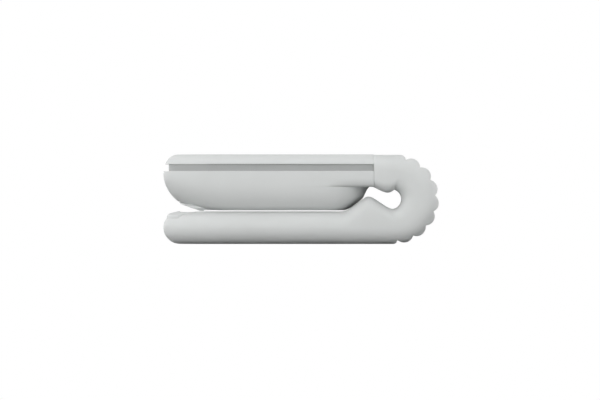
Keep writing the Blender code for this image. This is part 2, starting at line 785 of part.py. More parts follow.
def set_finishes(parts):
    """Gives each piece its finish by the first matching word of its name."""
    words = (
        ("screw", "screw_steel"),
        ("spring_strip", "spring_steel"),
        ("charge_contact", "contact_gold"),
        ("flex_cable", "flex_polyimide"),
        ("connector", "connector_white"),
        ("led", "led_resin"),
        ("chip", "chip_black"),
        ("sounder", "chip_black"),
        ("switch", "chip_black"),
        ("photodiode", "chip_black"),
        ("display_window", "window_glass"),
        ("display_panel", "chip_black"),
        ("gasket", "foam_black"),
        ("window", "filter_plastic"),
        ("cell", "cell_foil"),
        ("board", "board_green"),
        ("button", "button_plastic"),
        ("pad", "pad_silicone"),
        ("sleeve", "soft_elastomer"),
        ("ribs", "soft_elastomer"),
        ("block", "soft_elastomer"),
        ("frame", "frame_plastic"),
        ("tray", "frame_plastic"),
        ("casing", "grey_plastic"),
        ("cover", "grey_plastic"),
    )
    finishes = {}
    for obj in parts.objects:
        finish = next(value for word, value in words if word in obj.name)
        if finish not in finishes:
            finishes[finish] = make_finish(finish)
        obj.data.materials.clear()
        obj.data.materials.append(finishes[finish])


def hide_tools(tools):
    """Cutters are drawn as wires and never rendered."""
    for obj in tools.objects:
        obj.hide_render = True
        obj.display_type = "WIRE"


def main():
    """Builds every piece of the oximeter."""
    for obj in list(bpy.data.objects):
        bpy.data.objects.remove(obj, do_unlink=True)
    parts = bpy.data.collections.new("pulse_oximeter")
    tools = bpy.data.collections.new("tools")
    bpy.context.scene.collection.children.link(parts)
    bpy.context.scene.collection.children.link(tools)

    trough = tunnel_cutter(tools, "finger_trough", FLARE_X)
    tunnel = tunnel_cutter(tools, "finger_tunnel", NOSE_X - 2)
    arch = tunnel_cutter(tools, "casing_arch", NOSE_X - 2, PAD_SKIN)
    flare = flare_cutter(tools)
    slot = slot_cutter(tools)

    lower_sleeve(parts, tools, slot)
    lower_pad(parts, tools, trough, flare)
    lower_tray(parts, tools)
    lower_inner_pieces(parts)
    back_ribs(parts, tools, slot)
    rear_block(parts, tools, slot)
    spring_strips(parts, tools)
    flex_cable(parts)
    strip_screws(parts)
    upper_casing(parts, tools, arch, slot)
    upper_pad(parts, tools, tunnel)
    mid_frame(parts, tools)
    top_cover(parts, tools)
    display_pieces(parts, tools)
    main_board(parts, tools)
    board_pieces(parts)
    emitter_pieces(parts)
    power_button(parts)

    set_finishes(parts)
    hide_tools(tools)


main()
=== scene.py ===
"""Looks of a fingertip pulse oximeter: a soft ribbed clip that carries a rigid display module.

Every length in a size field is in millimetres, in the part's own frame: +X points to the
ribbed back, -X to the finger mouth, +Y across the width and +Z up from the resting face.
"""

import json
import logging
import math
from dataclasses import dataclass
from enum import Enum
from typing import Optional, Sequence

import bmesh
import bpy
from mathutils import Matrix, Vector


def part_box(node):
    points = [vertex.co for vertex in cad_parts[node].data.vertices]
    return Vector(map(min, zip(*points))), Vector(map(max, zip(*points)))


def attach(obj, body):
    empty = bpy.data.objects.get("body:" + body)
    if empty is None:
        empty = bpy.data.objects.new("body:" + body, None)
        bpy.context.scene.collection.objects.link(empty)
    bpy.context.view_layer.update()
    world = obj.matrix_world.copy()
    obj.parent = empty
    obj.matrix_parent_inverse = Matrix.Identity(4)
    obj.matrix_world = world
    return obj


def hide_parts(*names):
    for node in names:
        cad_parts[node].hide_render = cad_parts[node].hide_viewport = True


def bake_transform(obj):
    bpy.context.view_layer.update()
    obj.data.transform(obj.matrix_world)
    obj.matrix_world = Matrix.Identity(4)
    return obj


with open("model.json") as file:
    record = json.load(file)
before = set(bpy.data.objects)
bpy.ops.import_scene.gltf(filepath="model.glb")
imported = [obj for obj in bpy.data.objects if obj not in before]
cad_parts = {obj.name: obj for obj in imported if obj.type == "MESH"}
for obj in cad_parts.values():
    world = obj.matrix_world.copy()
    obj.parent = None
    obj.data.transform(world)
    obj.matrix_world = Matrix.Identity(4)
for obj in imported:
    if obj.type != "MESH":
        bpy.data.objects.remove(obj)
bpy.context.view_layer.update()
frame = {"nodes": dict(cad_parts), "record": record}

LOG = logging.getLogger("oximeter")
MM = 0.001

Point = tuple[float, float]
Ring = list[Vector]
Tone = tuple[float, float, float]

# The plan that both arms share, and the middle of the ribbed loop as X and Z.
NOSE_X = -33.0
HALF_WIDTH = 14.0
NOSE_RADIUS = 12.5
NOSE_CENTRE: Point = (NOSE_X + NOSE_RADIUS, HALF_WIDTH - NOSE_RADIUS)
LOOP_CENTRE: Point = (22.3, 10.7)
# The light's path through the casing: its X and the radius of its round ports.
SENSOR_X = -14.0
PORT_RADIUS = 2.45
BUTTON_X = 8.4


# ---------------------------------------------------------------- named choices


class Body(Enum):
    """The rigid bodies that the pieces ride on."""

    LOWER = "lower_arm"
    HINGE = "hinge_back"
    UPPER = "upper_arm"
    BUTTON = "power_button"


class Slot(Enum):
    """The record's material slots."""

    ELASTOMER = "soft_elastomer"
    PAD = "pad_silicone"
    SHELL = "grey_plastic"
    BAND = "frame_plastic"
    BUTTON = "button_plastic"
    WINDOW = "window_glass"
    FILTER = "filter_plastic"
    BOARD = "board_green"
    CHIP = "chip_black"
    CELL = "cell_foil"
    SCREW = "screw_steel"
    SPRING = "spring_steel"
    CONTACT = "contact_gold"
    FLEX = "flex_polyimide"
    LED = "led_resin"
    FOAM = "foam_black"
    CONNECTOR = "connector_white"


# ---------------------------------------------------------------- curves and numbers


def mix(low: float, high: float, share: float) -> float:
    """Straight mix of two numbers."""
    return low + (high - low) * share


def ease(value: float, start: float, end: float) -> float:
    """Smooth step of value from 0 at start to 1 at end."""
    share = min(1.0, max(0.0, (value - start) / (end - start)))
    return share * share * (3.0 - 2.0 * share)


def arc(centre: Point, radius: Point, start: float, end: float, steps: int) -> list[Point]:
    """Points on an elliptical arc.

    Args:
        centre: The ellipse's centre.
        radius: Its two half axes.
        start: First angle in degrees.
        end: Last angle in degrees.
        steps: Number of segments.

    Returns:
        steps + 1 points.
    """
    angles = [math.radians(mix(start, end, step / steps)) for step in range(steps + 1)]
    return [(centre[0] + radius[0] * math.cos(a), centre[1] + radius[1] * math.sin(a)) for a in angles]


def read_off(path: Sequence[Point], value: float) -> float:
    """The second value of a path where its first one is value.

    Args:
        path: Points with rising first values.
        value: Where to read it.

    Returns:
        The second value, or that of the nearest end where the path doesn't reach.
    """
    for (u0, v0), (u1, v1) in zip(path, path[1:]):
        if u0 <= value <= u1:
            return mix(v0, v1, (value - u0) / (u1 - u0))
    return path[0][1] if value < path[0][0] else path[-1][1]


def smooth_path(points: Sequence[Point], per_span: int) -> list[Point]:
    """A smooth curve through points.

    Args:
        points: The points that the curve passes through.
        per_span: Segments between two neighbouring points.

    Returns:
        Points along the curve, both ends included.
    """
    ends = [points[0], *points, points[-1]]
    path = []
    for before, here, there, after in zip(ends, ends[1:], ends[2:], ends[3:]):
        for step in range(per_span):
            t = step / per_span
            path.append(
                tuple(
                    0.5
                    * (
                        2 * b
                        + (c - a) * t
                        + (2 * a - 5 * b + 4 * c - d) * t * t
                        + (3 * b - a - 3 * c + d) * t**3
                    )
                    for a, b, c, d in zip(before, here, there, after)
                )
            )
    return path + [tuple(points[-1])]


def mirrored(half: Sequence[Point]) -> list[Point]:
    """A closed outline from its half with positive second values, both ends on the axis."""
    return list(half) + [(u, -v) for u, v in reversed(half[1:-1])]


def at_height(outline: Sequence[Point], z: float) -> Ring:
    """A plan outline as a ring at height z."""
    return [Vector((x, y, z)) * MM for x, y in outline]


# ---------------------------------------------------------------- meshes


def loft(rings: Sequence[Ring]) -> bmesh.types.BMesh:
    """Skins a closed body over rings of equal count, by extruding each ring into the next.

    Args:
        rings: The rings in order. The first and the last are filled.

    Returns:
        A closed mesh whose faces point outwards.
    """
    bm = bmesh.new()
    verts = [bm.verts.new(place) for place in rings[0]]
    bm.faces.new(verts)
    for ring in rings[1:]:
        edges = [bm.edges.get((a, b)) for a, b in zip(verts, verts[1:] + verts[:1])]
        grown = bmesh.ops.extrude_edge_only(bm, edges=edges)["geom"]
        fresh = {item for item in grown if isinstance(item, bmesh.types.BMVert)}
        verts = [
            next(edge.other_vert(vert) for edge in vert.link_edges if edge.other_vert(vert) in fresh)
            for vert in verts
        ]
        for vert, place in zip(verts, ring):
            vert.co = place
    bm.faces.new(verts)
    bmesh.ops.remove_doubles(bm, verts=bm.verts, dist=0.002 * MM)
    bmesh.ops.recalc_face_normals(bm, faces=bm.faces)
    bm.verts.index_update()
    total = len(bm.verts)

    def order(face: bmesh.types.BMFace) -> int:
        """A number that puts the faces in the order of their vertices."""
        indices = [vert.index for vert in face.verts]
        return min(indices) * total + max(indices)

    bm.faces.sort(key=order)
    return bm


def as_object(name: str, bm: bmesh.types.BMesh) -> bpy.types.Object:
    """A scene object from a mesh under construction, which is freed.

    Args:
        name: The object's name.
        bm: The mesh, in metres.

    Returns:
        The object, linked to the scene.
    """
    mesh = bpy.data.meshes.new(name)
    bm.to_mesh(mesh)
    bm.free()
    obj = bpy.data.objects.new(name, mesh)
    bpy.context.scene.collection.objects.link(obj)
    return obj


def plate(outline: Sequence[Point], low: float, high: float) -> bmesh.types.BMesh:
    """An upright prism over a plan outline, from low to high."""
    return loft([at_height(outline, low), at_height(outline, high)])


def carve(obj: bpy.types.Object, *tools: bmesh.types.BMesh) -> None:
    """Takes each tool out of obj for good.

    Args:
        obj: The piece that is cut.
        tools: Closed meshes under construction, which are freed.
    """
    for tool in tools:
        cutter = as_object("cutter", tool)
        modifier = obj.modifiers.new("carve", "BOOLEAN")
        modifier.operation = "DIFFERENCE"
        modifier.solver = "EXACT"
        modifier.object = cutter
        bpy.context.view_layer.update()
        done = obj.evaluated_get(bpy.context.evaluated_depsgraph_get())
        carved = bpy.data.meshes.new_from_object(done)
        obj.modifiers.clear()
        worn = obj.data
        obj.data = carved
        bpy.data.meshes.remove(worn)
        bpy.data.objects.remove(cutter, do_unlink=True)


def shade(obj: bpy.types.Object, crease: float = 32.0) -> None:
    """Smooth shading with creases above an angle in degrees."""
    obj.data.shade_smooth()
    obj.data.set_sharp_from_angle(angle=math.radians(crease))


def settle(
    obj: bpy.types.Object,
    material: bpy.types.Material,
    body: Optional[Body],
    replaced: Sequence[str] = (),
) -> bpy.types.Object:
    """Dresses a finished piece and ties it to the frame.

    Args:
        obj: The piece, in place.
        material: Its finish.
        body: The body that it rides on, or None where it is tied to no body.
        replaced: The CAD nodes that it stands for.

    Returns:
        The same piece.
    """
    obj.data.materials.clear()
    obj.data.materials.append(material)
    if body is not None:
        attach(obj, body.value)
    if replaced:
        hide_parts(*replaced)
    LOG.info("%s: %d faces, stands for %s", obj.name, len(obj.data.polygons), ", ".join(replaced))
    return obj


# ---------------------------------------------------------------- shader node groups

# How much the fine speckle adds to the slow tone, and the part of the sum that is shown.
SPECKLE_SHARE = 0.35
TONE_RANGE: Point = (0.45, 0.95)
# The scale of brushed metal's grain along X, Y and Z: it is drawn out along X.
BRUSHED_SCALE = (0.04, 1.0, 1.0)
BLACK: Tone = (0.0, 0.0, 0.0)
WHITE: Tone = (1.0, 1.0, 1.0)


def new_group(
    name: str, inputs: dict[str, float], outputs: Sequence[str], colours: Sequence[str] = ()
) -> tuple[bpy.types.NodeTree, bpy.types.Node, bpy.types.Node]:
    """An empty shader node group with named sockets.

    Args:
        name: The group's name.
        inputs: Input names and their default values.
        outputs: Output names.
        colours: The names among them that are colours.

    Returns:
        The group and its input and output nodes.
    """
    group = bpy.data.node_groups.new(name, "ShaderNodeTree")
    for label, value in inputs.items():
        kind = "NodeSocketColor" if label in colours else "NodeSocketFloat"
        socket = group.interface.new_socket(name=label, in_out="INPUT", socket_type=kind)
        if label not in colours:
            socket.default_value = value
    for label in outputs:
        kind = "NodeSocketColor" if label in colours else "NodeSocketFloat"
        group.interface.new_socket(name=label, in_out="OUTPUT", socket_type=kind)
    entry = group.nodes.new("NodeGroupInput")
    leave = group.nodes.new("NodeGroupOutput")
    return group, entry, leave


def feed(tree: bpy.types.NodeTree, node: bpy.types.Node, values: dict[str | int, object]) -> None:
    """Sets a node's inputs, or links them.

    Args:
        tree: The node tree that holds the node.
        node: The node to set.
        values: A number, an RGB tuple, a vector or a socket for each input.
    """
    for label, value in values.items():
        socket = node.inputs[label]
        if isinstance(value, bpy.types.NodeSocket):
            tree.links.new(value, socket)
        elif socket.type == "RGBA":
            socket.default_value = (*value, 1.0)
        else:
            socket.default_value = value


def make_node(tree: bpy.types.NodeTree, kind: str, values: dict[str | int, object]) -> bpy.types.Node:
    """A new node with its inputs set or linked.

    Args:
        tree: The node tree to add to.
        kind: The node's type.
        values: What feed takes.

    Returns:
        The node.
    """
    node = tree.nodes.new(kind)
    feed(tree, node, values)
    return node


def object_place(tree: bpy.types.NodeTree) -> bpy.types.NodeSocket:
    """The socket with the shaded place in the object's own frame."""
    return tree.nodes.new("ShaderNodeTexCoord").outputs["Object"]


def noise(
    tree: bpy.types.NodeTree, vector: bpy.types.NodeSocket, detail: float, scale: object
) -> bpy.types.NodeSocket:
    """A noise texture on vector.

    Args:
        tree: The node tree to add to.
        vector: The socket with the place.
        detail: How many finer layers are added.
        scale: Its scale, a number or a socket.

    Returns:
        The socket with the noise.
    """
    values = {"Vector": vector, "Detail": detail, "Scale": scale}
    return make_node(tree, "ShaderNodeTexNoise", values).outputs["Fac"]


def calculate(tree: bpy.types.NodeTree, operation: str, *values: object) -> bpy.types.NodeSocket:
    """A calculation on values, each a number or a socket.

    Args:
        tree: The node tree to add to.
        operation: The maths node's operation.
        values: What it works on, in order.

    Returns:
        The socket with the result.
    """
    node = tree.nodes.new("ShaderNodeMath")
    node.operation = operation
    feed(tree, node, dict(enumerate(values)))
    return node.outputs[0]


def spread(
    tree: bpy.types.NodeTree, value: bpy.types.NodeSocket, source: Point, low: object, high: object
) -> bpy.types.NodeSocket:
    """Maps value from the source range to low and high, each a number or a socket.

    Args:
        tree: The node tree to add to.
        value: The socket with the value.
        source: The range of values that is used; the rest is clamped.
        low: What the range's start becomes.
        high: What the range's end becomes.

    Returns:
        The socket with the result.
    """
    values = {"Value": value, "From Min": source[0], "From Max": source[1], "To Min": low, "To Max": high}
    return make_node(tree, "ShaderNodeMapRange", values).outputs["Result"]


def blend_colour(
    tree: bpy.types.NodeTree, share: bpy.types.NodeSocket, first: object, second: object
) -> bpy.types.NodeSocket:
    """Mixes two colours, each a socket or an RGB tuple, by share.

    Args:
        tree: The node tree to add to.
        share: The socket with the second colour's share.
        first: The colour at a share of 0.
        second: The colour at a share of 1.

    Returns:
        The socket with the mixed colour.
    """
    node = tree.nodes.new("ShaderNodeMix")
    node.data_type = "RGBA"
    feed(tree, node, {"Factor": share, 6: first, 7: second})
    return node.outputs[2]


def moulding_group() -> bpy.types.NodeTree:
    """Slow tone changes, handling marks and fine speckle of a moulded surface.

    Returns:
        The node group.
    """
    group, entry, leave = new_group(
        "moulded_tone",
        {
            "Color": 0.0,
            "Marked": 0.0,
            "Tone Scale": 60.0,
            "Speckle Scale": 5000.0,
            "Roughness": 0.5,
            "Sway": 0.05,
        },
        ["Color", "Roughness"],
        ["Color", "Marked"],
    )
    where = object_place(group)
    given = entry.outputs
    slow = noise(group, where, 3.0, given["Tone Scale"])
    speck = noise(group, where, 1.0, given["Speckle Scale"])
    both = calculate(group, "MULTIPLY_ADD", speck, SPECKLE_SHARE, slow)
    share = spread(group, both, TONE_RANGE, 0.0, 1.0)
    tone = blend_colour(group, share, given["Color"], given["Marked"])
    rough = calculate(group, "MULTIPLY_ADD", share, given["Sway"], given["Roughness"])
    feed(group, leave, {"Color": tone, "Roughness": rough})
    return group


def spark_group() -> bpy.types.NodeTree:
    """Height of a spark-eroded mould texture: fine grain over a faint larger ripple.

    Returns:
        The node group.
    """
    group, entry, leave = new_group(
        "mould_texture", {"Grain Scale": 4000.0, "Ripple Scale": 250.0, "Ripple": 0.3}, ["Height"]
    )
    where = object_place(group)
    given = entry.outputs
    grain = noise(group, where, 2.0, given["Grain Scale"])
    ripple = noise(group, where, 1.0, given["Ripple Scale"])
    height = calculate(group, "MULTIPLY_ADD", ripple, given["Ripple"], grain)
    feed(group, leave, {"Height": height})
    return group


def brushed_group() -> bpy.types.NodeTree:
    """Height and roughness of metal rolled or brushed along X.

    Returns:
        The node group.
    """
    group, entry, leave = new_group(
        "brushed_metal", {"Scale": 900.0, "Roughness": 0.3, "Sway": 0.15}, ["Height", "Roughness"]
    )
    given = entry.outputs
    drawn = make_node(group, "ShaderNodeMapping", {"Vector": object_place(group), "Scale": BRUSHED_SCALE})
    lines = noise(group, drawn.outputs["Vector"], 4.0, given["Scale"])
    rough = calculate(group, "MULTIPLY_ADD", lines, given["Sway"], given["Roughness"])
    feed(group, leave, {"Height": lines, "Roughness": rough})
    return group


# ---------------------------------------------------------------- finishes


@dataclass(frozen=True)
class Moulded:
    """A moulded plastic, rubber or resin.

    colour and marked are the two tones that the surface moves between. texture is the
    depth of the mould's texture in millimetres.
    """

    slot: Slot
    colour: Tone
    marked: Tone
    roughness: float
    sway: float = 0.06
    tone_scale: float = 70.0
    texture: float = 0.004
    grain_scale: float = 4200.0
    ripple: float = 0.3
    coat: float = 0.0
    coat_roughness: float = 0.08
    specular: float = 0.5
    sheen: float = 0.0

    def material(self, groups: dict[str, bpy.types.NodeTree]) -> bpy.types.Material:
        """Builds the finish as a material.

        Args:
            groups: The shared node groups, by name.

        Returns:
            The new material.
        """
        material, tree, shader = blank_material(self.slot.value)
        tone = place_group(
            tree,
            groups["tone"],
            {
                "Color": self.colour,
                "Marked": self.marked,
                "Tone Scale": self.tone_scale,
                "Roughness": self.roughness,
                "Sway": self.sway,
            },
        )
        grain = {"Grain Scale": self.grain_scale, "Ripple": self.ripple}
        spark = place_group(tree, groups["spark"], grain)
        add_bump(tree, shader, spark.outputs["Height"], self.texture)
        feed(
            tree,
            shader,
            {
                "Base Color": tone.outputs["Color"],
                "Roughness": tone.outputs["Roughness"],
                "Coat Weight": self.coat,
                "Coat Roughness": self.coat_roughness,
                "Specular IOR Level": self.specular,
                "Sheen Weight": self.sheen,
            },
        )
        return material


@dataclass(frozen=True)
class Metal:
    """A bare or plated metal, rolled or turned."""

    slot: Slot
    colour: Tone
    tarnish: Tone
    roughness: float
    scale: float = 900.0
    tarnish_range: Point = (0.4, 0.7)
    tarnish_most: float = 0.5
    line_depth: float = 0.003

    def material(self, groups: dict[str, bpy.types.NodeTree]) -> bpy.types.Material:
        """Builds the finish as a material.

        Args:
            groups: The shared node groups, by name.

        Returns:
            The new material.
        """
        material, tree, shader = blank_material(self.slot.value)
        lines = {"Scale": self.scale, "Roughness": self.roughness}
        brushed = place_group(tree, groups["brushed"], lines).outputs
        share = spread(tree, brushed["Height"], self.tarnish_range, 0.0, self.tarnish_most)
        colour = blend_colour(tree, share, self.colour, self.tarnish)
        feed(tree, shader, {"Base Color": colour, "Roughness": brushed["Roughness"], "Metallic": 1.0})
        add_bump(tree, shader, brushed["Height"], self.line_depth)
        return material


@dataclass(frozen=True)
class SolderMask:
    """A printed board: tracks under a coloured mask, with bare vias."""

    slot: Slot = Slot.BOARD
    mask: Tone = (0.012, 0.105, 0.045)
    track: Tone = (0.02, 0.19, 0.08)
    track_scale: float = 420.0
    track_width: float = 0.06
    pad_tone: float = 0.15
    roughness: Point = (0.28, 0.36)
    track_height: float = 0.02

    def material(self, groups: dict[str, bpy.types.NodeTree]) -> bpy.types.Material:
        """Builds the finish as a material.

        Args:
            groups: The shared node groups, by name.

        Returns:
            The new material.
        """
        material, tree, shader = blank_material(self.slot.value)
        tracks = make_node(
            tree,
            "ShaderNodeTexBrick",
            {
                "Vector": object_place(tree),
                "Scale": self.track_scale,
                "Mortar Size": self.track_width,
                "Color1": BLACK,
                "Color2": (self.pad_tone,) * 3,
                "Mortar": WHITE,
            },
        )
        raised = tracks.outputs["Fac"]
        colour = blend_colour(tree, raised, self.mask, self.track)
        rough = spread(tree, raised, (0.0, 1.0), *self.roughness)
        feed(tree, shader, {"Base Color": colour, "Roughness": rough})
        add_bump(tree, shader, raised, self.track_height)
        return material


@dataclass(frozen=True)
class DarkWindow:
    """Clear-coated display window over a black print, with a faint active area.

    The coat's shine fades towards a grazing view, over the range in fade.
    """

    slot: Slot = Slot.WINDOW
    border: Tone = (0.006, 0.006, 0.007)
    active: Tone = (0.016, 0.018, 0.021)
    centre: Point = (-11.0, 0.0)
    half: Point = (9.2, 5.9)
    edge: float = 0.1
    smear_scale: float = 130.0
    smear_range: Point = (0.35, 0.75)
    roughness: Point = (0.2, 0.3)
    shine: float = 0.3
    fade: Point = (0.3, 0.8)
    coat_roughness: float = 0.15

    def material(self, groups: dict[str, bpy.types.NodeTree]) -> bpy.types.Material:
        """Builds the finish as a material.

        Args:
            groups: The shared node groups, by name.

        Returns:
            The new material.
        """
        material, tree, shader = blank_material(self.slot.value)
        where = object_place(tree)
        place = make_node(tree, "ShaderNodeSeparateXYZ", {"Vector": where}).outputs
        shares = []
        for axis, middle, half in zip("XY", self.centre, self.half):
            off = calculate(tree, "ABSOLUTE", calculate(tree, "SUBTRACT", place[axis], middle * MM))
            shares.append(spread(tree, off, ((half - self.edge) * MM, half * MM), 1.0, 0.0))
        inside = calculate(tree, "MULTIPLY", *shares)
        smear = noise(tree, where, 4.0, self.smear_scale)
        facing = make_node(tree, "ShaderNodeLayerWeight", {"Blend": 0.5}).outputs["Facing"]
        feed(
            tree,
            shader,
            {
                "Base Color": blend_colour(tree, inside, self.border, self.active),
                "Roughness": spread(tree, smear, self.smear_range, *self.roughness),
                "Coat Weight": spread(tree, facing, self.fade, self.shine, 0.0),
                "Coat Roughness": self.coat_roughness,
                "Specular IOR Level": 0.0,
            },
        )
        return material


def blank_material(
    name: str,
) -> tuple[bpy.types.Material, bpy.types.NodeTree, bpy.types.Node]:
    """A node material with one Principled shader.

    Args:
        name: The material's name.

    Returns:
        The material, its node tree and the shader.
    """
    material = bpy.data.materials.new(f"{name}_finish")
    material.use_nodes = True
    tree = material.node_tree
    return material, tree, tree.nodes["Principled BSDF"]


def place_group(
    tree: bpy.types.NodeTree, group: bpy.types.NodeTree, values: dict[str | int, object]
) -> bpy.types.Node:
    """A group node in a material.

    Args:
        tree: The node tree to add to.
        group: The node group to use.
        values: What feed takes.

    Returns:
        The group's node.
    """
    node = tree.nodes.new("ShaderNodeGroup")
    node.node_tree = group
    feed(tree, node, values)
    return node


def add_bump(
    tree: bpy.types.NodeTree, shader: bpy.types.Node, height: bpy.types.NodeSocket, depth: float
) -> None:
    """Feeds a height to the shader's normal, with depth in millimetres.

    Args:
        tree: The node tree to add to.
        shader: The shader whose normal is set.
        height: The socket with the height, 0 to 1.
        depth: Millimetres between the heights 0 and 1.
    """
    values = {"Distance": depth * MM, "Strength": 1.0, "Height": height}
    feed(tree, shader, {"Normal": make_node(tree, "ShaderNodeBump", values).outputs["Normal"]})


FINISHES = (
    Moulded(Slot.ELASTOMER, (0.625, 0.64, 0.635), (0.60, 0.615, 0.61), 0.58, specular=0.35, sheen=0.05),
    Moulded(Slot.PAD, (0.60, 0.615, 0.612), (0.57, 0.585, 0.582), 0.48, texture=0.003, specular=0.4),
    Moulded(Slot.SHELL, (0.625, 0.64, 0.635), (0.605, 0.62, 0.615), 0.5, texture=0.003, specular=0.4),
    # The band's darker grey is partly its own tone and partly painted shade for the groove under the
    # cover's overhang.
    Moulded(Slot.BAND, (0.37, 0.38, 0.377), (0.345, 0.355, 0.352), 0.55, texture=0.003, specular=0.35),
    Moulded(Slot.BUTTON, (0.55, 0.565, 0.56), (0.52, 0.535, 0.53), 0.45, texture=0.002),
    Moulded(Slot.FILTER, (0.06, 0.004, 0.006), (0.04, 0.003, 0.004), 0.12, texture=0.0004, coat=0.8),
    Moulded(Slot.CHIP, (0.018, 0.018, 0.019), (0.03, 0.03, 0.031), 0.5, grain_scale=9000.0),
    Moulded(Slot.FLEX, (0.42, 0.17, 0.03), (0.30, 0.11, 0.02), 0.35, texture=0.002, coat=0.3),
    Moulded(Slot.LED, (0.72, 0.72, 0.68), (0.62, 0.62, 0.56), 0.2, texture=0.001, coat=0.5),
    Moulded(Slot.FOAM, (0.02, 0.02, 0.02), (0.045, 0.045, 0.045), 0.85, texture=0.03, grain_scale=2500.0),
    Moulded(Slot.CONNECTOR, (0.68, 0.66, 0.60), (0.60, 0.58, 0.52), 0.45, texture=0.002),
    Metal(Slot.CELL, (0.62, 0.63, 0.64), (0.50, 0.51, 0.52), 0.32, 500.0),
    Metal(Slot.SCREW, (0.58, 0.58, 0.57), (0.42, 0.42, 0.42), 0.26),
    Metal(Slot.SPRING, (0.55, 0.55, 0.56), (0.42, 0.42, 0.44), 0.24, 1400.0),
    Metal(Slot.CONTACT, (0.83, 0.61, 0.27), (0.66, 0.45, 0.17), 0.18, 1200.0),
    SolderMask(),
    DarkWindow(),
)


# ---------------------------------------------------------------- soft clip


@dataclass
class SoftClip:
    """The one-piece soft moulding: lower arm, finger stop, ribbed loop and rear block.

    It is skinned over rings that run from the lower nose, along the arm and round the
    loop to the block. Each ring spans the moulding's wall, from its inner side, which
    faces the finger or the void, to its outer side.
    """

    nose_x: float = NOSE_X
    half_width: float = HALF_WIDTH
    nose_radius: float = NOSE_RADIUS
    nose_angles: tuple[float, ...] = (2.5, 6, 10, 15, 20, 26, 32, 38, 44, 50, 56, 62, 68, 74, 80, 86)
    arm_height: float = 7.75
    arm_end_x: float = 8.0
    arm_steps: int = 8
    stop_lead: float = 0.8
    flank_flat: float = 0.02
    stop_end_x: float = 21.0
    loop: Point = LOOP_CENTRE
    rib_count: int = 7
    rib_radius: float = 2.17
    rib_reach: float = 8.53
    rib_first: float = -74.0
    rib_pitch: float = 22.7
    rib_steps: int = 16
    rib_soft: float = 0.15
    heel: Point = (22.06, 0.94)
    void: Point = (21.75, 10.7)
    void_radius: float = 2.38
    parting_x: float = 17.47
    block_top: float = 21.3
    block_corner: Point = (23.72, 20.0)
    block_reach: float = 1.3
    block_low: float = 13.62
    block_inner: Point = (2.0, 2.1)
    block_round: float = 3.4
    block_start_x: float = 22.9
    block_ease: float = 4.4
    front_rim: float = 0.1
    tray_gap: float = 0.15
    tray_radius: float = 8.8
    tray_room: Point = (1.25, 6.2)
    seam_rib: int = 4
    span_steps: int = 7
    corner_steps: int = 11
    flank_inner: Point = (2.9, 3.0)
    void_fillet: float = 3.5
    flank_round: Point = (3.9, 3.9)
    rib_edge: float = 0.3
    stop: tuple[Point, ...] = (
        (8.0, 7.75),
        (9.4, 7.74),
        (10.6, 7.9),
        (11.8, 8.52),
        (13.0, 9.34),
        (14.2, 10.24),
        (15.1, 10.9),
        (15.95, 11.3),
        (16.7, 11.2),
        (17.5, 10.82),
        (19.0, 9.86),
        (20.6, 8.82),
        (21.4, 8.48),
        (22.0, 8.33),
    )
    lobe: tuple[Point, ...] = (
        (22.91, 12.78),
        (22.66, 12.9),
        (22.4, 12.96),
        (22.1, 12.82),
        (21.75, 12.56),
        (21.3, 12.34),
        (20.83, 12.26),
        (20.3, 12.34),
        (19.71, 12.54),
        (18.6, 13.06),
        (17.95, 13.4),
        (17.47, 13.6),
    )

    def section(
        self, inner: Point, outer: Point, inner_corner: Point, outer_corner: Point, trim: float = 0.0
    ) -> Ring:
        """One ring across the wall.

        The outer rounding belongs to the unribbed body. Where the ribs cut in, it ends early.

        Args:
            inner: X and Z of the inner side.
            outer: X and Z of the outer side.
            inner_corner: How far the inner rounding reaches across the wall and in from the flank.
            outer_corner: The same for the outer rounding.
            trim: How far the whole ring is drawn in.

        Returns:
            The ring, from the middle of the inner side round by the left flank.
        """
        start = Vector(inner)
        across = Vector(outer) - start
        wall = across.length - 2 * trim
        across.normalize()
        start += across * trim
        width = self.half_width - trim
        half = [(0.0, y) for y in self.spaced(width - inner_corner[1])]
        for step in range(1, self.corner_steps + 1):
            turn = math.radians(90.0 * (1 - step / self.corner_steps))
            half.append(
                (
                    inner_corner[0] * (1 - math.sin(turn)),
                    width - inner_corner[1] * (1 - math.cos(turn)),
                )
            )
        slack = self.slack(outer)
        full = math.asin(max(1 - slack / outer_corner[0], 0.0))
        for step in range(self.corner_steps):
            turn = full * step / self.corner_steps
            half.append(
                (
                    wall + slack - outer_corner[0] * (1 - math.sin(turn)),
                    width - outer_corner[1] * (1 - math.cos(turn)),
                )
            )
        rim = width - outer_corner[1] * (1 - math.cos(full)) - min(self.rib_edge, slack)
        half += [(wall, y) for y in reversed(self.spaced(rim))]
        places = [(start + across * reach, y) for reach, y in half]
        ring = [Vector((xz.x, y, xz.y)) * MM for xz, y in places]
        return ring + [Vector((p.x, -p.y, p.z)) for p in reversed(ring[1:-1])]

    def slack(self, outer: Point) -> float:
        """How far the outer side lies inside the unribbed body.

        Args:
            outer: The outer side's place, as X and Z.

        Returns:
            The distance in millimetres, 0 where it isn't inside.
        """
        if outer[0] <= self.loop[0]:
            return max(self.block_top - outer[1], 0.0) if outer[1] > self.loop[1] else 0.0
        reach = math.hypot(outer[0] - self.loop[0], outer[1] - self.loop[1])
        return max(self.rib_reach + self.rib_radius - reach, 0.0)

    def spaced(self, reach: float) -> list[float]:
        """Even steps from the middle plane to reach."""
        return [reach * step / self.span_steps for step in range(self.span_steps + 1)]

    def nose_ring(self, x: float) -> Ring:
        """A ring through the nose, where the round edge follows the plan's curve.

        Args:
            x: Where the ring cuts the nose.

        Returns:
            The ring.
        """
        edge = self.arm_height / 2
        offset = self.nose_radius - (x - self.nose_x)
        side = self.half_width - self.nose_radius
        inset = min(edge, self.nose_radius - offset)
        rise = math.sqrt(edge**2 - (edge - inset) ** 2)

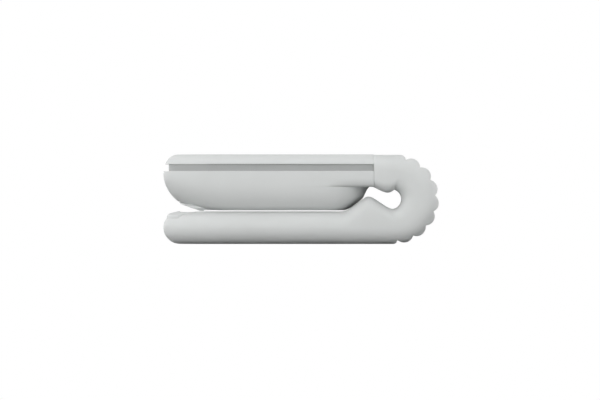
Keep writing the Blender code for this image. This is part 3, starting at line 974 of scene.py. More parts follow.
        def reach(height: float) -> float:
            """Half width at a height from the arm's middle."""
            drawn = edge - math.sqrt(max(edge**2 - height**2, 0.0))
            return side + math.sqrt(max((self.nose_radius - drawn) ** 2 - offset**2, 0.0))

        half = [(rise, y) for y in self.spaced(reach(rise))]
        for step in range(1, self.corner_steps + 1):
            height = rise * math.sin(math.radians(90.0 * (1 - step / self.corner_steps)))
            half.append((height, reach(height)))
        half += [(-height, y) for height, y in reversed(half)]
        ring = [Vector((x, y, edge + height)) * MM for height, y in half]
        return ring + [Vector((p.x, -p.y, p.z)) for p in reversed(ring[1:-1])]

    def arm_rings(self) -> list[Ring]:
        """Rings from the nose to the start of the finger stop.

        Returns:
            The rings, front to rear.
        """
        rings = []
        for angle in self.nose_angles:
            depth = self.nose_radius * (1 - math.cos(math.radians(angle)))
            rings.append(self.nose_ring(self.nose_x + depth))
        edge = (self.arm_height / 2 - self.flank_flat, self.arm_height / 2)
        start = self.nose_x + self.nose_radius
        end = self.arm_end_x - self.stop_lead
        for step in range(self.arm_steps + 1):
            x = mix(start, end, step / self.arm_steps)
            rings.append(self.section((x, self.arm_height), (x, 0.0), edge, edge))
        return rings

    def stop_rings(self) -> list[Ring]:
        """Rings over the finger stop and down into the void.

        Returns:
            The rings, front to rear.
        """
        rings = []
        edge = self.arm_height / 2
        for x, z in smooth_path(self.stop, 3):
            share = ease(x, self.arm_end_x, self.stop_end_x)
            outer = (edge - self.flank_flat, edge)
            inner = (mix(outer[0], self.flank_inner[0], share), mix(edge, self.flank_inner[1], share))
            rings.append(self.section((x, z), (x, 0.0), inner, outer))
        return rings

    def void_reach(self, angle: float) -> float:
        """Distance from the loop's centre to the void's edge, along an angle in radians.

        Args:
            angle: The angle from +X.

        Returns:
            The distance in millimetres.
        """
        shift = self.loop[0] - self.void[0]
        along = shift * math.cos(angle)
        return -along + math.sqrt(along**2 - shift**2 + self.void_radius**2)

    def rib_reaches(self) -> list[tuple[float, float]]:
        """Angle in radians and outer radius at each station round the ribs.

        Returns:
            Pairs of angle and radius, from below round to the top.
        """
        stations = []
        for index in range(self.rib_count * self.rib_steps + 1):
            turn = self.rib_first - self.rib_pitch / 2 + index * self.rib_pitch / self.rib_steps
            rib = min(index // self.rib_steps, self.rib_count - 1)
            off = math.radians(turn - self.rib_first - rib * self.rib_pitch)
            side = self.rib_reach * math.sin(off)
            reach = self.rib_reach * math.cos(off) + math.sqrt(self.rib_radius**2 - side**2)
            stations.append((math.radians(turn), reach))
        soft = list(stations)
        for index in range(1, len(stations) - 1):
            near = (stations[index - 1][1] + stations[index + 1][1]) / 2
            soft[index] = (stations[index][0], mix(stations[index][1], near, self.rib_soft))
        return soft

    def loop_rings(self) -> list[Ring]:
        """Rings round the ribbed loop.

        Returns:
            The rings, from below round to the top.
        """
        rings = []
        turned = arc(self.heel, (self.heel[1], self.heel[1]), -80, -14, 4)
        for x, z in turned:
            angle = math.atan2(z - self.loop[1], x - self.loop[0])
            reach = math.hypot(x - self.loop[0], z - self.loop[1])
            rings.append(self.ray(angle, reach))
        for angle, reach in self.rib_reaches():
            rings.append(self.ray(angle, reach))
        return rings

    def ray(self, angle: float, reach: float) -> Ring:
        """A ring on the ray at angle from the loop's centre, out to reach.

        Args:
            angle: The ray's angle from +X, in radians.
            reach: The outer radius.

        Returns:
            The ring, from the void's edge to reach.
        """
        near = self.void_reach(angle)
        inner = (self.loop[0] + near * math.cos(angle), self.loop[1] + near * math.sin(angle))
        outer = (self.loop[0] + reach * math.cos(angle), self.loop[1] + reach * math.sin(angle))
        corner = (mix(self.flank_inner[0], self.void_fillet, math.cos(angle) ** 2), self.flank_inner[1])
        return self.section(inner, outer, corner, self.flank_round)

    def block_rings(self) -> list[Ring]:
        """Rings of the rear block, forward to the parting plane.

        Returns:
            The rings, rear to front.
        """
        inner = smooth_path(self.lobe, 2)[1:]
        corner_x, corner_z = self.block_corner
        outer = arc(self.block_corner, (self.block_reach, self.block_top - corner_z), 8, 90, 7)
        flat = len(inner) - len(outer)
        for step in range(1, flat + 1):
            outer.append((mix(corner_x, self.parting_x, step / flat), self.block_top))
        rings = []
        for low, high in zip(inner, outer):
            share = ease(self.block_start_x - low[0], 0.0, self.block_ease)
            lower = tuple(mix(a, b, share) for a, b in zip(self.flank_inner, self.block_inner))
            upper = tuple(mix(a, self.block_round, share) for a in self.flank_round)
            rings.append(self.section(low, high, lower, upper))
        trim = self.front_rim
        end = self.parting_x - trim
        lower = (self.block_inner[0] - trim, self.block_inner[1] - trim)
        upper = (self.block_round - trim, self.block_round - trim)
        rings.append(self.section((end, self.block_low), (end, self.block_top), lower, upper, trim))
        return rings

    def rings(self) -> tuple[list[Ring], int]:
        """All rings, and the index of the seam's ring.

        Returns:
            The rings in order from the nose, and the index.
        """
        front = self.arm_rings() + self.stop_rings()
        loop = self.loop_rings()
        seam = len(front) + len(loop) - 1 - (self.rib_count - self.seam_rib) * self.rib_steps
        return front + loop + self.block_rings(), seam

    def seam_normals(self, rings: list[Ring], seam: int) -> dict[tuple[int, ...], Vector]:
        """Normals of the unbroken moulding along the seam, by place.

        Args:
            rings: All rings of the moulding.
            seam: The index of the seam's ring.

        Returns:
            The normals, each under its place as whole numbers.
        """
        whole = loft(rings[seam - 2 : seam + 3])
        whole.normal_update()
        places = {place_key(p) for p in rings[seam]}
        normals = {place_key(v.co): v.normal.copy() for v in whole.verts if place_key(v.co) in places}
        whole.free()
        return normals

    def hide_seam(self, obj: bpy.types.Object, normals: dict[tuple[int, ...], Vector]) -> None:
        """Gives a half the unbroken moulding's normals along the seam.

        Args:
            obj: One of the halves.
            normals: What seam_normals returned.
        """
        mesh = obj.data
        corner = [Vector(normal.vector) for normal in mesh.corner_normals]
        for polygon in mesh.polygons:
            places = [place_key(mesh.vertices[v].co) for v in polygon.vertices]
            if all(place in normals for place in places):
                continue
            for loop_index, place in zip(polygon.loop_indices, places):
                if place in normals:
                    corner[loop_index] = normals[place]
        mesh.normals_split_custom_set(corner)

    def pocket(self) -> list[bmesh.types.BMesh]:
        """Cutters for the tray's room.

        Returns:
            The cutters.
        """
        low, high = (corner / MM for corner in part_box("lower_tray"))
        gap = self.tray_gap
        plan = half_plan(low.x - gap, high.x + gap, high.y + gap, self.tray_radius)
        return [plate(plan, *self.tray_room)]

    def build(self, material: bpy.types.Material) -> None:
        """Makes both halves of the moulding.

        Args:
            material: The finish to give it.
        """
        rings, seam = self.rings()
        normals = self.seam_normals(rings, seam)
        lower = as_object("soft_lower_moulding", loft(rings[: seam + 1]))
        carve(lower, *self.pocket(), *FingerPads().seat())
        upper = as_object("soft_upper_moulding", loft(rings[seam:]))
        for obj in (lower, upper):
            shade(obj, 50.0)
            self.hide_seam(obj, normals)
        settle(lower, material, None, ("lower_sleeve", "back_ribs"))
        settle(upper, material, None, ("rear_block", "back_ribs"))
        bend_with_loop(lower, False)
        bend_with_loop(upper, True)


def bend_with_loop(obj: bpy.types.Object, upper: bool) -> None:
    """Bakes the placement of a half of the loop into its mesh.

    Args:
        obj: The half, in place.
        upper: True for the half above the loop's middle.
    """
    if upper:
        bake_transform(obj)
    else:
        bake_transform(obj)


def place_key(place: Vector) -> tuple[int, ...]:
    """A place rounded to a tenth of a micron, to match vertices by."""
    return tuple(round(value * 1e7) for value in place)


def half_plan(
    front: float, rear: float, half_width: float, radius: float, nose_steps: int = 20, side_steps: int = 6
) -> list[Point]:
    """Closed plan of an arm: round at the front, square at the rear.

    Args:
        front: X of the nose.
        rear: X of the square end.
        half_width: Half of the width.
        radius: Radius of the nose's corners in plan.
        nose_steps: Segments in each nose corner.
        side_steps: Segments along each side.

    Returns:
        The outline's points, from the middle of the rear.
    """
    side = [(mix(rear, front + radius, step / side_steps), half_width) for step in range(side_steps)]
    nose = arc((front + radius, half_width - radius), (radius, radius), 90, 180, nose_steps)
    return mirrored([(rear, 0.0)] + side + nose + [(front, 0.0)])


# ---------------------------------------------------------------- finger pads


@dataclass
class FingerPads:
    """The two soft pads that hold the fingertip, and the windows in them."""

    centre_z: float = 9.3
    half_width: float = 8.2
    half_height: float = 3.3
    skin: float = 0.85
    end_x: float = 8.4
    rim_z: float = 7.62
    floor_z: float = 5.1
    lip_foot: float = 5.5
    lip_inset: float = 0.8
    lip_rear_x: float = -24.0
    step_x: float = -30.3
    side: float = 9.15
    rear_x: float = 9.3
    cross_steps: int = 32
    crest_round: float = 0.25
    side_drop: float = 0.22
    flare_x: float = -27.0
    flare_slope: float = 0.24
    seat_gap: float = 0.12
    seat_front: float = -30.4
    seat_radius: float = 8.9
    seat_top: float = 10.0
    foot_z: float = 8.35
    foot_length: float = 0.9
    drop_x: float = -21.0
    lip_skin: float = 0.5
    lip_edge: tuple[Point, ...] = ((-24.3, 8.0), (-24.9, 8.2), (-26.3, 8.65), (-27.9, 9.3), (-29.2, 9.85))
    pad_steps: int = 36
    crowding: float = 0.8
    arch_steps: int = 28
    tunnel_gap: float = 0.13
    tunnel_ends: Point = (8.6, -37.0)
    tunnel_low_x: float = -29.8
    tunnel_foot: float = 4.0
    window_radius: float = 2.28
    window_rim: tuple[Point, ...] = ((0.0, 0.2), (0.06, 0.06), (0.2, 0.0), (1.28, 0.0))
    lip_front_x: tuple[float, ...] = (-32.19, -32.15, -32.05, -31.9, -31.6, -31.2, -30.8, -30.4, -30.2)
    lip_ridge_x: tuple[float, ...] = (-30.0, -29.8, -29.65, -29.5, -29.4, -29.3, -29.2, -29.0, -28.7)
    lip: tuple[Point, ...] = (
        (-32.22, 7.1),
        (-31.4, 7.5),
        (-30.5, 7.98),
        (-29.95, 8.16),
        (-29.7, 8.17),
        (-29.5, 8.08),
        (-29.35, 7.88),
        (-29.2, 7.72),
        (-28.9, 7.62),
    )

    def rim(self, x: float) -> float:
        """Height of the lower pad's rim at x.

        Args:
            x: The place along the pad.

        Returns:
            The height above the ground.
        """
        if x >= self.lip[-1][0]:
            return self.rim_z
        return read_off(smooth_path(self.lip, 3), x)

    def lower_width(self, x: float) -> float:
        """Half width of the lower pad at x, following the nose's plan.

        Args:
            x: The place along the pad.

        Returns:
            The half width.
        """
        radius = NOSE_RADIUS - self.lip_inset
        off = min(x - NOSE_CENTRE[0], 0.0)
        nose = NOSE_CENTRE[1] + math.sqrt(max(radius**2 - off**2, 0.0))
        return min(nose, self.side)

    def trough(self, x: float, y: float) -> float:
        """Height of the trough's surface at a place.

        Args:
            x: The place along the pad.
            y: The place across it.

        Returns:
            The height above the ground.
        """
        lift = max(self.flare_x - x, 0.0) * self.flare_slope
        share = min(abs(y) / self.half_width, 1.0)
        return self.centre_z + lift - self.half_height * math.sqrt(1 - share**2)

    def skin_top(self, x: float, y: float) -> float:
        """Height of a thin skin laid over the nose's round edge at a place.

        Args:
            x: The place along the pad.
            y: The place across it.

        Returns:
            The height above the ground.
        """
        reach = math.hypot(min(x - NOSE_CENTRE[0], 0.0), max(abs(y) - NOSE_CENTRE[1], 0.0))
        edge = SoftClip.arm_height / 2
        inset = min(max(NOSE_RADIUS - reach, 0.0), edge)
        return edge + math.sqrt(edge**2 - (edge - inset) ** 2) + self.lip_skin

    def lower_ring(self, x: float) -> Ring:
        """A ring of the lower pad at x: its top across the trough, and its foot.

        Args:
            x: The place along the pad.

        Returns:
            The ring.
        """
        width = self.lower_width(x)
        rim = self.rim(x)
        foot = self.lip_foot if x < self.step_x else self.floor_z
        top = []
        for step in range(self.cross_steps + 1):
            y = width * math.sin(math.radians(mix(-90, 90, step / self.cross_steps)))
            crest = min(rim, self.skin_top(x, y))
            top.append((y, soft_least(crest, self.trough(x, y), self.crest_round)))
        edge = top[0][1] - self.side_drop
        left = [(-width, edge), (-width, mix(edge, foot, 0.5))]
        right = [(-y, z) for y, z in left]
        below = [(mix(width, -width, step / 6), foot) for step in range(7)]
        outline = top[1:-1] + right + below + left[::-1]
        return [Vector((x, y, z)) * MM for y, z in outline]

    def lower_stations(self) -> list[float]:
        """X of each ring of the lower pad.

        Returns:
            The places, front to rear.
        """
        steps = 30
        rear = [mix(-28.0, self.rear_x, step / steps) for step in range(steps + 1)]
        return [*self.lip_front_x, *self.lip_ridge_x, *rear]

    def seat(self) -> list[bmesh.types.BMesh]:
        """Cutters in the soft moulding for the lower pad.

        Returns:
            The cutters.
        """
        gap = self.seat_gap
        side = self.side + gap
        block = half_plan(self.seat_front - gap, self.rear_x + gap, side, self.seat_radius, 14)
        lip = self.lip_plan(side, self.lip_inset - gap)
        return [
            plate(block, self.floor_z - gap, self.seat_top),
            plate(lip, self.lip_foot - gap, self.seat_top),
        ]

    def lip_plan(self, side: float, inset: float) -> list[Point]:
        """Plan of the lower lip: the nose's curve as far as the pad's sides.

        Args:
            side: Half width of the pad.
            inset: How far the curve lies inside the nose's.

        Returns:
            The closed outline.
        """
        radius = NOSE_RADIUS - inset
        reach = math.degrees(math.asin(min((side - NOSE_CENTRE[1]) / radius, 1.0)))
        nose = arc(NOSE_CENTRE, (radius, radius), 180 - reach, 180, 16)
        ends = [(self.lip_rear_x, 0.0), (self.lip_rear_x, side)]
        return mirrored(ends + nose + [(NOSE_CENTRE[0] - radius, 0.0)])

    def build_lower(self, material: bpy.types.Material) -> None:
        """Makes the lower pad.

        Args:
            material: The finish to give it.
        """
        rings = [self.lower_ring(x) for x in self.lower_stations()]
        pad = as_object("lower_finger_pad", loft(rings))
        carve(pad, port(4.0, 9.0, 40))
        shade(pad, 40.0)
        settle(pad, material, Body.LOWER, ("lower_pad",))

    def lip_front(self, z: float) -> float:
        """X of the upper lip's edge where its middle is at height z.

        Args:
            z: The height in the lip.

        Returns:
            The X of the edge.
        """
        for (x0, z0), (x1, z1) in zip(self.lip_edge, self.lip_edge[1:]):
            if z <= z1:
                return mix(x0, x1, (z - z0) / (z1 - z0))
        return self.lip_edge[-1][0]

    def roof(self, turn: float) -> tuple[float, float, float]:
        """The upper pad's middle line at an angle round the arch.

        Args:
            turn: The angle in degrees from +Y.

        Returns:
            Its height in the tunnel, its height at the lip, and the lip's X.
        """
        tall = self.half_height + self.skin / 2
        middle = self.centre_z + tall * math.sin(math.radians(turn))
        tip, crown = self.lip_edge[0][1], self.lip_edge[-1][1]
        low = mix(tip, crown, (middle - tip) / (self.centre_z + tall - tip))
        return middle, low, self.lip_front(low)

    def lining(self, x: float, turn: float, share: float, gap: float = 0.0) -> Vector:
        """A place on the upper pad, whose roof comes down to the lip at the mouth.

        Args:
            x: Its X.
            turn: Its angle round the arch in degrees from +Y.
            share: Its place across the skin, from -1 on the finger's side to 1.
            gap: How far it is moved away from the skin.

        Returns:
            The place in metres.
        """
        angle = math.radians(turn)
        middle, low, front = self.roof(turn)
        sunk = ease(-x, -self.drop_x, -front)
        out = share * mix(self.skin, self.lip_skin, sunk) / 2 + gap
        wide = self.half_width + self.skin / 2 + out
        return Vector((x, wide * math.cos(angle), mix(middle, low, sunk) + out * math.sin(angle))) * MM

    def upper_ring(self, turn: float) -> Ring:
        """A ring of the upper pad at an angle round the arch, from its rear to its round lip.

        Args:
            turn: The angle in degrees from +Y.

        Returns:
            The ring, along the tunnel's side, round the lip and back along the casing's side.
        """
        middle, _, front = self.roof(turn)
        rear = self.end_x if middle > self.foot_z else self.lip_edge[0][0] + self.foot_length
        half = self.lip_skin / 2
        shares = [(step / self.pad_steps) ** self.crowding for step in range(self.pad_steps)]
        path = [mix(rear, front + half, share) for share in shares]
        line = [(x, -1.0) for x in path]
        for bend in range(-90, 91, 15):
            turned = math.radians(bend)
            line.append((front + half * (1 - math.cos(turned)), math.sin(turned)))
        line += [(x, 1.0) for x in reversed(path)]
        return [self.lining(x, turn, share) for x, share in line]

    def tunnel(self) -> bmesh.types.BMesh:
        """Cutter in the casing for the upper pad, with a gap all round.

        Returns:
            The cutter.
        """
        steps = 22
        stations = [mix(self.drop_x, self.tunnel_low_x, step / steps) for step in range(steps + 1)]
        stations = [self.tunnel_ends[0], 0.0, -10.0, -18.0, -20.0, *stations, self.tunnel_ends[1]]
        rings = []
        for x in stations:
            ring = [self.lining(x, turn, 1.0, self.tunnel_gap) for turn in range(-12, 193, 6)]
            feet = [Vector((place.x, place.y, self.tunnel_foot * MM)) for place in (ring[0], ring[-1])]
            rings.append([feet[0], *ring, feet[1]])
        return loft(rings)

    def upper_turns(self) -> list[float]:
        """Angles of the upper pad's rings, from one low lip over the arch to the other.

        Returns:
            The angles in degrees from +Y.
        """
        tall = self.half_height + self.skin / 2
        foot = math.degrees(math.asin((self.foot_z - self.centre_z) / tall))
        tip = math.degrees(math.asin((self.lip_edge[0][1] - self.centre_z) / tall))
        beside = 0.15
        half = [tip, mix(tip, foot, 0.5), foot - beside, foot + beside]
        half += [mix(foot + beside, 90.0, step / self.arch_steps) for step in range(1, self.arch_steps)]
        return half + [90.0] + [180.0 - turn for turn in reversed(half)]

    def build_upper(self, material: bpy.types.Material) -> None:
        """Makes the upper pad.

        Args:
            material: The finish to give it.
        """
        pad = as_object("upper_finger_pad", loft([self.upper_ring(turn) for turn in self.upper_turns()]))
        carve(pad, port(11.0, 15.0, 40))
        shade(pad, 40.0)
        settle(pad, material, Body.UPPER, ("upper_pad",))

    def build_windows(self, material: bpy.types.Material) -> None:
        """Makes the two round filter windows, with softened rims.

        Args:
            material: The finish to give it.
        """
        for name, node, body, low, high, edge in (
            ("sensor_filter", "sensor_window", Body.LOWER, 5.53, 5.95, 1),
            ("emitter_filter", "emitter_window", Body.UPPER, 13.93, 12.66, -1),
        ):
            rings = [ring_of(SENSOR_X, 0.0, self.window_radius, low, 40)]
            for drawn, below in self.window_rim:
                rings.append(ring_of(SENSOR_X, 0.0, self.window_radius - drawn, high - edge * below, 40))
            disc = as_object(name, loft(rings))
            shade(disc, 40.0)
            settle(disc, material, body, (node,))


def soft_least(first: float, second: float, blend: float) -> float:
    """The smaller of two numbers, rounded where they cross."""
    share = min(1.0, max(0.0, 0.5 + (second - first) / (2 * blend)))
    return mix(second, first, share) - blend * share * (1 - share)


def ring_of(x: float, y: float, radius: float, z: float, sides: int) -> Ring:
    """A round ring at height z."""
    return at_height([(x + radius * math.cos(a), y + radius * math.sin(a)) for a in turns(sides)], z)


def turns(sides: int) -> list[float]:
    """Angles in radians, evenly round a circle."""
    return [2 * math.pi * side / sides for side in range(sides)]


def port(low: float, high: float, sides: int) -> bmesh.types.BMesh:
    """A cutter for the light's round port, from low to high."""
    return loft([ring_of(SENSOR_X, 0.0, PORT_RADIUS, z, sides) for z in (low, high)])


# ---------------------------------------------------------------- display module


@dataclass
class DisplayModule:
    """The rigid module on the upper arm: casing, groove band, cover, window and button."""

    front_x: float = NOSE_X
    rear_x: float = 17.35
    half_width: float = HALF_WIDTH
    nose_radius: float = NOSE_RADIUS
    bottom_z: float = 8.05
    ledge_z: float = 13.66
    casing_top: float = 17.42
    cover_low: float = 19.08
    cover_top: float = 21.4
    bow: Point = (-23.0, 17.0)
    bow_reach: float = 10.0
    bilge_z: float = 14.3
    bilge_inset: float = 3.8
    stern_x: float = 5.8
    stern_power: float = 0.8
    ledge_round: float = 1.9
    ledge_tuck: float = 1.1
    edge_radius: float = 3.4
    casing_rim: float = 0.12
    room_floor: float = 14.6
    shelf_floor: float = 15.75
    band_inset: float = 0.75
    band_front: float = 1.3
    band_round: float = 10.2
    band_wall: float = 2.3
    band_gap: float = 0.03
    cover_inset: float = 0.2
    cover_ceiling: float = 20.35
    low_chamfer: float = 0.04
    pane_radius: float = 2.0
    pane_gap: float = 0.1
    button_hole: float = 3.52
    stern: tuple[Point, ...] = (
        (8.05, 10.4),
        (8.35, 11.25),
        (8.7, 11.95),
        (9.5, 13.05),
        (10.4, 14.2),
        (11.15, 14.95),
        (11.8, 15.25),
        (12.5, 15.6),
        (13.2, 15.97),
        (13.66, 16.45),
    )

    def stern_tip(self, z: float) -> float:
        """X of the stern's tip at height z.

        Args:
            z: The height above the ground.

        Returns:
            The X of the tip.
        """
        return read_off(smooth_path(self.stern, 4), z)

    def hull(self, z: float) -> tuple[float, float, float]:
        """Front, half width and nose radius of the hull at height z.

        Args:
            z: The height above the ground.

        Returns:
            The three lengths in millimetres.
        """
        fall = min(max((self.bow[1] - z) / (self.bow[1] - self.bottom_z), 0.0), 1.0)
        front = self.bow[0] - self.bow_reach * math.sqrt(1 - fall**2)
        turn = min(max((self.bilge_z - z) / (self.bilge_z - self.bottom_z), 0.0), 1.0)
        width = self.half_width - self.bilge_inset * (1 - math.sqrt(1 - turn**2))
        return front, width, self.nose_radius - (self.half_width - width)

    def outline(self, z: float, bowl: bool, inset: float = 0.0, tuck: float = 0.0) -> Ring:
        """A level ring of the casing.

        Args:
            z: Its height.
            bowl: True below the ledge, where the stern is round in plan.
            inset: How far the ring is drawn in all round.
            tuck: How far the sides behind the stern's start are drawn in.

        Returns:
            The ring, from the middle of the rear.
        """
        front, width, radius = self.hull(z)
        front, width, radius = front + inset, width - inset, radius - inset
        if bowl:
            tip = self.stern_tip(z)
            rear = [
                (self.stern_x + (tip - self.stern_x) * x**self.stern_power, width * y**self.stern_power)
                for x, y in arc((0.0, 0.0), (1.0, 1.0), 0, 90, 20)[:-1]
            ] + [(self.stern_x, width)]
        else:
            back = self.rear_x
            rear = [(back, (width - tuck) * step / 6) for step in range(6)]
            for step in range(15):
                x = mix(back, self.stern_x, step / 14)
                rear.append((x, width - tuck * ease(x, self.stern_x - 1.0, self.stern_x + 6.0)))
        side = [(mix(self.stern_x, front + radius, step / 8), width) for step in range(1, 8)]
        nose = arc((front + radius, width - radius), (radius, radius), 90, 180, 20)
        return at_height(mirrored(rear + side + nose + [(front, 0.0)]), z)

    def build_casing(self, material: bpy.types.Material) -> None:
        """Makes the boat-shaped casing with its ledge, arch and inner room.

        Args:
            material: The finish to give it.
        """
        depth = self.bow[1] - self.bottom_z
        last = math.degrees(math.acos((self.bow[1] - self.ledge_z) / depth))
        rings = []
        for step in range(22):
            z = self.bow[1] - depth * math.cos(math.radians(last * step / 22))
            rings.append(self.outline(z, True))
        rings.append(self.outline(self.ledge_z, True))
        for turn in range(0, 91, 10):
            z = self.ledge_z + self.ledge_round * (1 - math.cos(math.radians(turn)))
            rings.append(self.outline(z, False, 0.0, self.ledge_tuck * (1 - math.sin(math.radians(turn)))))
        for z in (15.6, 16.1, 16.6, 17.0):
            rings.append(self.outline(z, False))
        for turn in range(0, 91, 18):
            z = self.casing_top - self.casing_rim * (1 - math.sin(math.radians(turn)))
            rings.append(self.outline(z, False, self.casing_rim * (1 - math.cos(math.radians(turn)))))
        casing = as_object("casing_shell", loft(rings))
        room = plate(half_plan(-31.0, 10.9, 12.0, 10.5), self.room_floor, 19.0)
        ledge = [(10.5, -12.0), (15.9, -12.0), (15.9, 12.0), (10.5, 12.0)]
        shelf = plate(ledge, self.shelf_floor, 19.0)
        carve(casing, FingerPads().tunnel(), room, shelf, port(12.0, 15.0, 32))
        shade(casing, 32.0)
        settle(casing, material, Body.UPPER, ("upper_casing",))

    def build_band(self, material: bpy.types.Material) -> None:
        """Makes the recessed band between casing and cover.

        Args:
            material: The finish to give it.
        """
        front, side = self.front_x + self.band_front, self.half_width - self.band_inset
        outer = half_plan(front, self.rear_x - 0.05, side, self.band_round)
        front, side = self.front_x + self.band_wall, self.half_width - self.band_wall
        inner = half_plan(front, self.rear_x - 1.2, side, self.nose_radius - self.band_wall)
        low, high = self.casing_top + self.band_gap, self.cover_low - self.band_gap
        band = as_object("groove_band", plate(outer, low, high))
        carve(band, plate(inner, 17.0, 20.0))
        shade(band)
        settle(band, material, Body.UPPER, ("mid_frame",))

    def cover_ring(self, z: float, inset: float) -> Ring:
        """A level ring of the cover, drawn in by inset except at its rear.

        Args:
            z: The ring's height.
            inset: How far it is drawn in.

        Returns:
            The ring.
        """
        drawn = self.cover_inset + inset
        side, radius = self.half_width - drawn, self.nose_radius - drawn
        return at_height(half_plan(self.front_x + drawn, self.rear_x, side, radius, 24), z)

    def build_cover(self, material: bpy.types.Material) -> None:
        """Makes the cover with its round edge and the openings for window and button.

        Args:
            material: The finish to give it.
        """
        centre = self.cover_top - self.edge_radius
        foot = self.cover_low + self.low_chamfer - centre
        first = math.degrees(math.asin(foot / self.edge_radius))
        rings = []
        for turn in (first - 0.7, first):
            slope = math.radians(turn)
            chamfer = self.low_chamfer if turn < first else 0.0
            z = centre + self.edge_radius * math.sin(slope)
            rings.append(self.cover_ring(z, self.edge_radius * (1 - math.cos(slope)) + chamfer))
        for step in range(1, 21):
            slope = math.radians(mix(first, 90, step / 20))
            z = centre + self.edge_radius * math.sin(slope)
            rings.append(self.cover_ring(z, self.edge_radius * (1 - math.cos(slope))))
        cover = as_object("cover_shell", loft(rings))
        hollow = plate(half_plan(-30.1, 16.0, 11.1, 9.6), 18.0, self.cover_ceiling)
        pane = plate(self.pane_outline(self.pane_gap), 19.0, 23.0)
        hole = loft([ring_of(BUTTON_X, 0.0, self.button_hole, z, 64) for z in (19.0, 23.0)])
        carve(cover, hollow, pane, hole)
        shade(cover)
        settle(cover, material, Body.UPPER, ("top_cover",))

    def pane_outline(self, grow: float) -> list[Point]:
        """Plan of the display window, grown all round.

        Args:
            grow: How much larger it is than the window.

        Returns:
            The closed outline.
        """
        low, high = (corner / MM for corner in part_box("display_window"))
        radius = self.pane_radius + grow
        corners = (
            ((high.x + grow - radius, high.y + grow - radius), 0),
            ((low.x - grow + radius, high.y + grow - radius), 90),
            ((low.x - grow + radius, low.y - grow + radius), 180),
            ((high.x + grow - radius, low.y - grow + radius), 270),
        )
        outline = []
        for centre, start in corners:
            outline += arc(centre, (radius, radius), start, start + 90, 10)
        return outline

    def build_window(self, material: bpy.types.Material) -> None:
        """Makes the display window with a softened rim.

        Args:
            material: The finish to give it.
        """
        levels = ((0.0, 20.5), (0.0, 21.12), (-0.04, 21.24), (-0.14, 21.31), (-0.26, 21.33))
        pane = as_object("display_pane", loft([at_height(self.pane_outline(g), z) for g, z in levels]))
        shade(pane, 40.0)
        settle(pane, material, Body.UPPER, ("display_window",))

    def build_button(self, material: bpy.types.Material) -> None:
        """Makes the round button: stem, collar, softened rim and a shallow dish.

        Args:
            material: The finish to give it.
        """
        low, high = (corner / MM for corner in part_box("power_button"))
        top = high.z
        levels = [
            (1.0, low.z),
            (1.0, 19.8),
            (4.2, 19.8),
            (4.2, 20.15),
            (3.4, 20.15),
            (3.4, top - 0.25),
            (3.34, top - 0.12),
            (3.2, top - 0.03),
            (3.0, top),
            (2.75, top),
        ]
        levels += [(mix(2.6, 0.3, step / 8), top - 0.16 * ease(step, 0, 8)) for step in range(9)]
        button = as_object("power_button_cap", loft([ring_of(BUTTON_X, 0.0, r, z, 64) for r, z in levels]))
        shade(button, 35.0)
        settle(button, material, Body.BUTTON, ("power_button",))


# ---------------------------------------------------------------- loop springs


@dataclass
class LoopSprings:
    """The strips and the flex cable, each cut into two halves at the loop's middle."""

    nodes: tuple[tuple[str, Slot], ...] = (
        ("spring_strip_left", Slot.SPRING),
        ("spring_strip_right", Slot.SPRING),
        ("flex_cable", Slot.FLEX),
    )
    weld: float = 0.005
    flat_angle: float = 0.02

    def half(self, node: str, upper: bool) -> bpy.types.Object:
        """One half of a CAD strip, above or below the loop's centre.

        Args:
            node: The CAD node that is copied.
            upper: True for the half above the centre.

        Returns:
            The half as a closed piece.
        """
        bm = bmesh.new()
        bm.from_mesh(frame["nodes"][node].data)
        bmesh.ops.remove_doubles(bm, verts=bm.verts, dist=self.weld * MM)
        bmesh.ops.dissolve_limit(bm, angle_limit=self.flat_angle, verts=bm.verts, edges=bm.edges)
        place = Vector((0.0, 0.0, LOOP_CENTRE[1] * MM))
        cut = bmesh.ops.bisect_plane(
            bm,
            geom=[*bm.verts, *bm.edges, *bm.faces],
            plane_co=place,
            plane_no=(0.0, 0.0, 1.0),
            clear_outer=not upper,
            clear_inner=upper,
        )
        rim = [item for item in cut["geom_cut"] if isinstance(item, bmesh.types.BMEdge)]
        bmesh.ops.holes_fill(bm, edges=rim)
        name = f"{node}_{'upper' if upper else 'lower'}_half"
        return as_object(name, bm)

    def build(self, materials: dict[Slot, bpy.types.Material]) -> None:
        """Makes the six halves.

        Args:
            materials: The finish of each slot.
        """
        for node, slot in self.nodes:
            for upper in (False, True):
                obj = self.half(node, upper)
                shade(obj)
                settle(obj, materials[slot], None, (node,))
                bend_with_loop(obj, upper)


# ---------------------------------------------------------------- contacts and inner pieces


@dataclass
class InnerPieces:
    """The charging contacts, remade round, and the CAD pieces that keep their shape."""

    contact_count: int = 4
    pin_levels: tuple[Point, ...] = ((0.2, 0.0), (0.36, 0.02), (0.5, 0.08), (0.58, 0.2))

    def build(self, materials: dict[Slot, bpy.types.Material]) -> None:
        """Makes the contacts and dresses every CAD node that is still shown.

        Args:
            materials: The finish of each slot.
        """
        for index in range(self.contact_count):
            node = f"charge_contact_{index + 1}"
            low, high = (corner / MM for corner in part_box(node))
            x, y = (low.x + high.x) / 2, (low.y + high.y) / 2
            rings = [ring_of(x, y, radius, low.z + rise, 32) for radius, rise in self.pin_levels]
            rings.append(ring_of(x, y, self.pin_levels[-1][0], high.z, 32))
            pin = as_object(f"contact_pin_{index + 1}", loft(rings))
            shade(pin, 40.0)
            settle(pin, materials[Slot.CONTACT], Body.LOWER, (node,))
        slots = {part["node"]: part["material_slot"] for part in frame["record"]["subparts"]}
        for node, obj in frame["nodes"].items():
            if obj.hide_render:
                continue
            obj.data.materials.clear()
            obj.data.materials.append(materials[Slot(slots[node])])
            LOG.info("%s keeps its shape", node)


# ---------------------------------------------------------------- studio


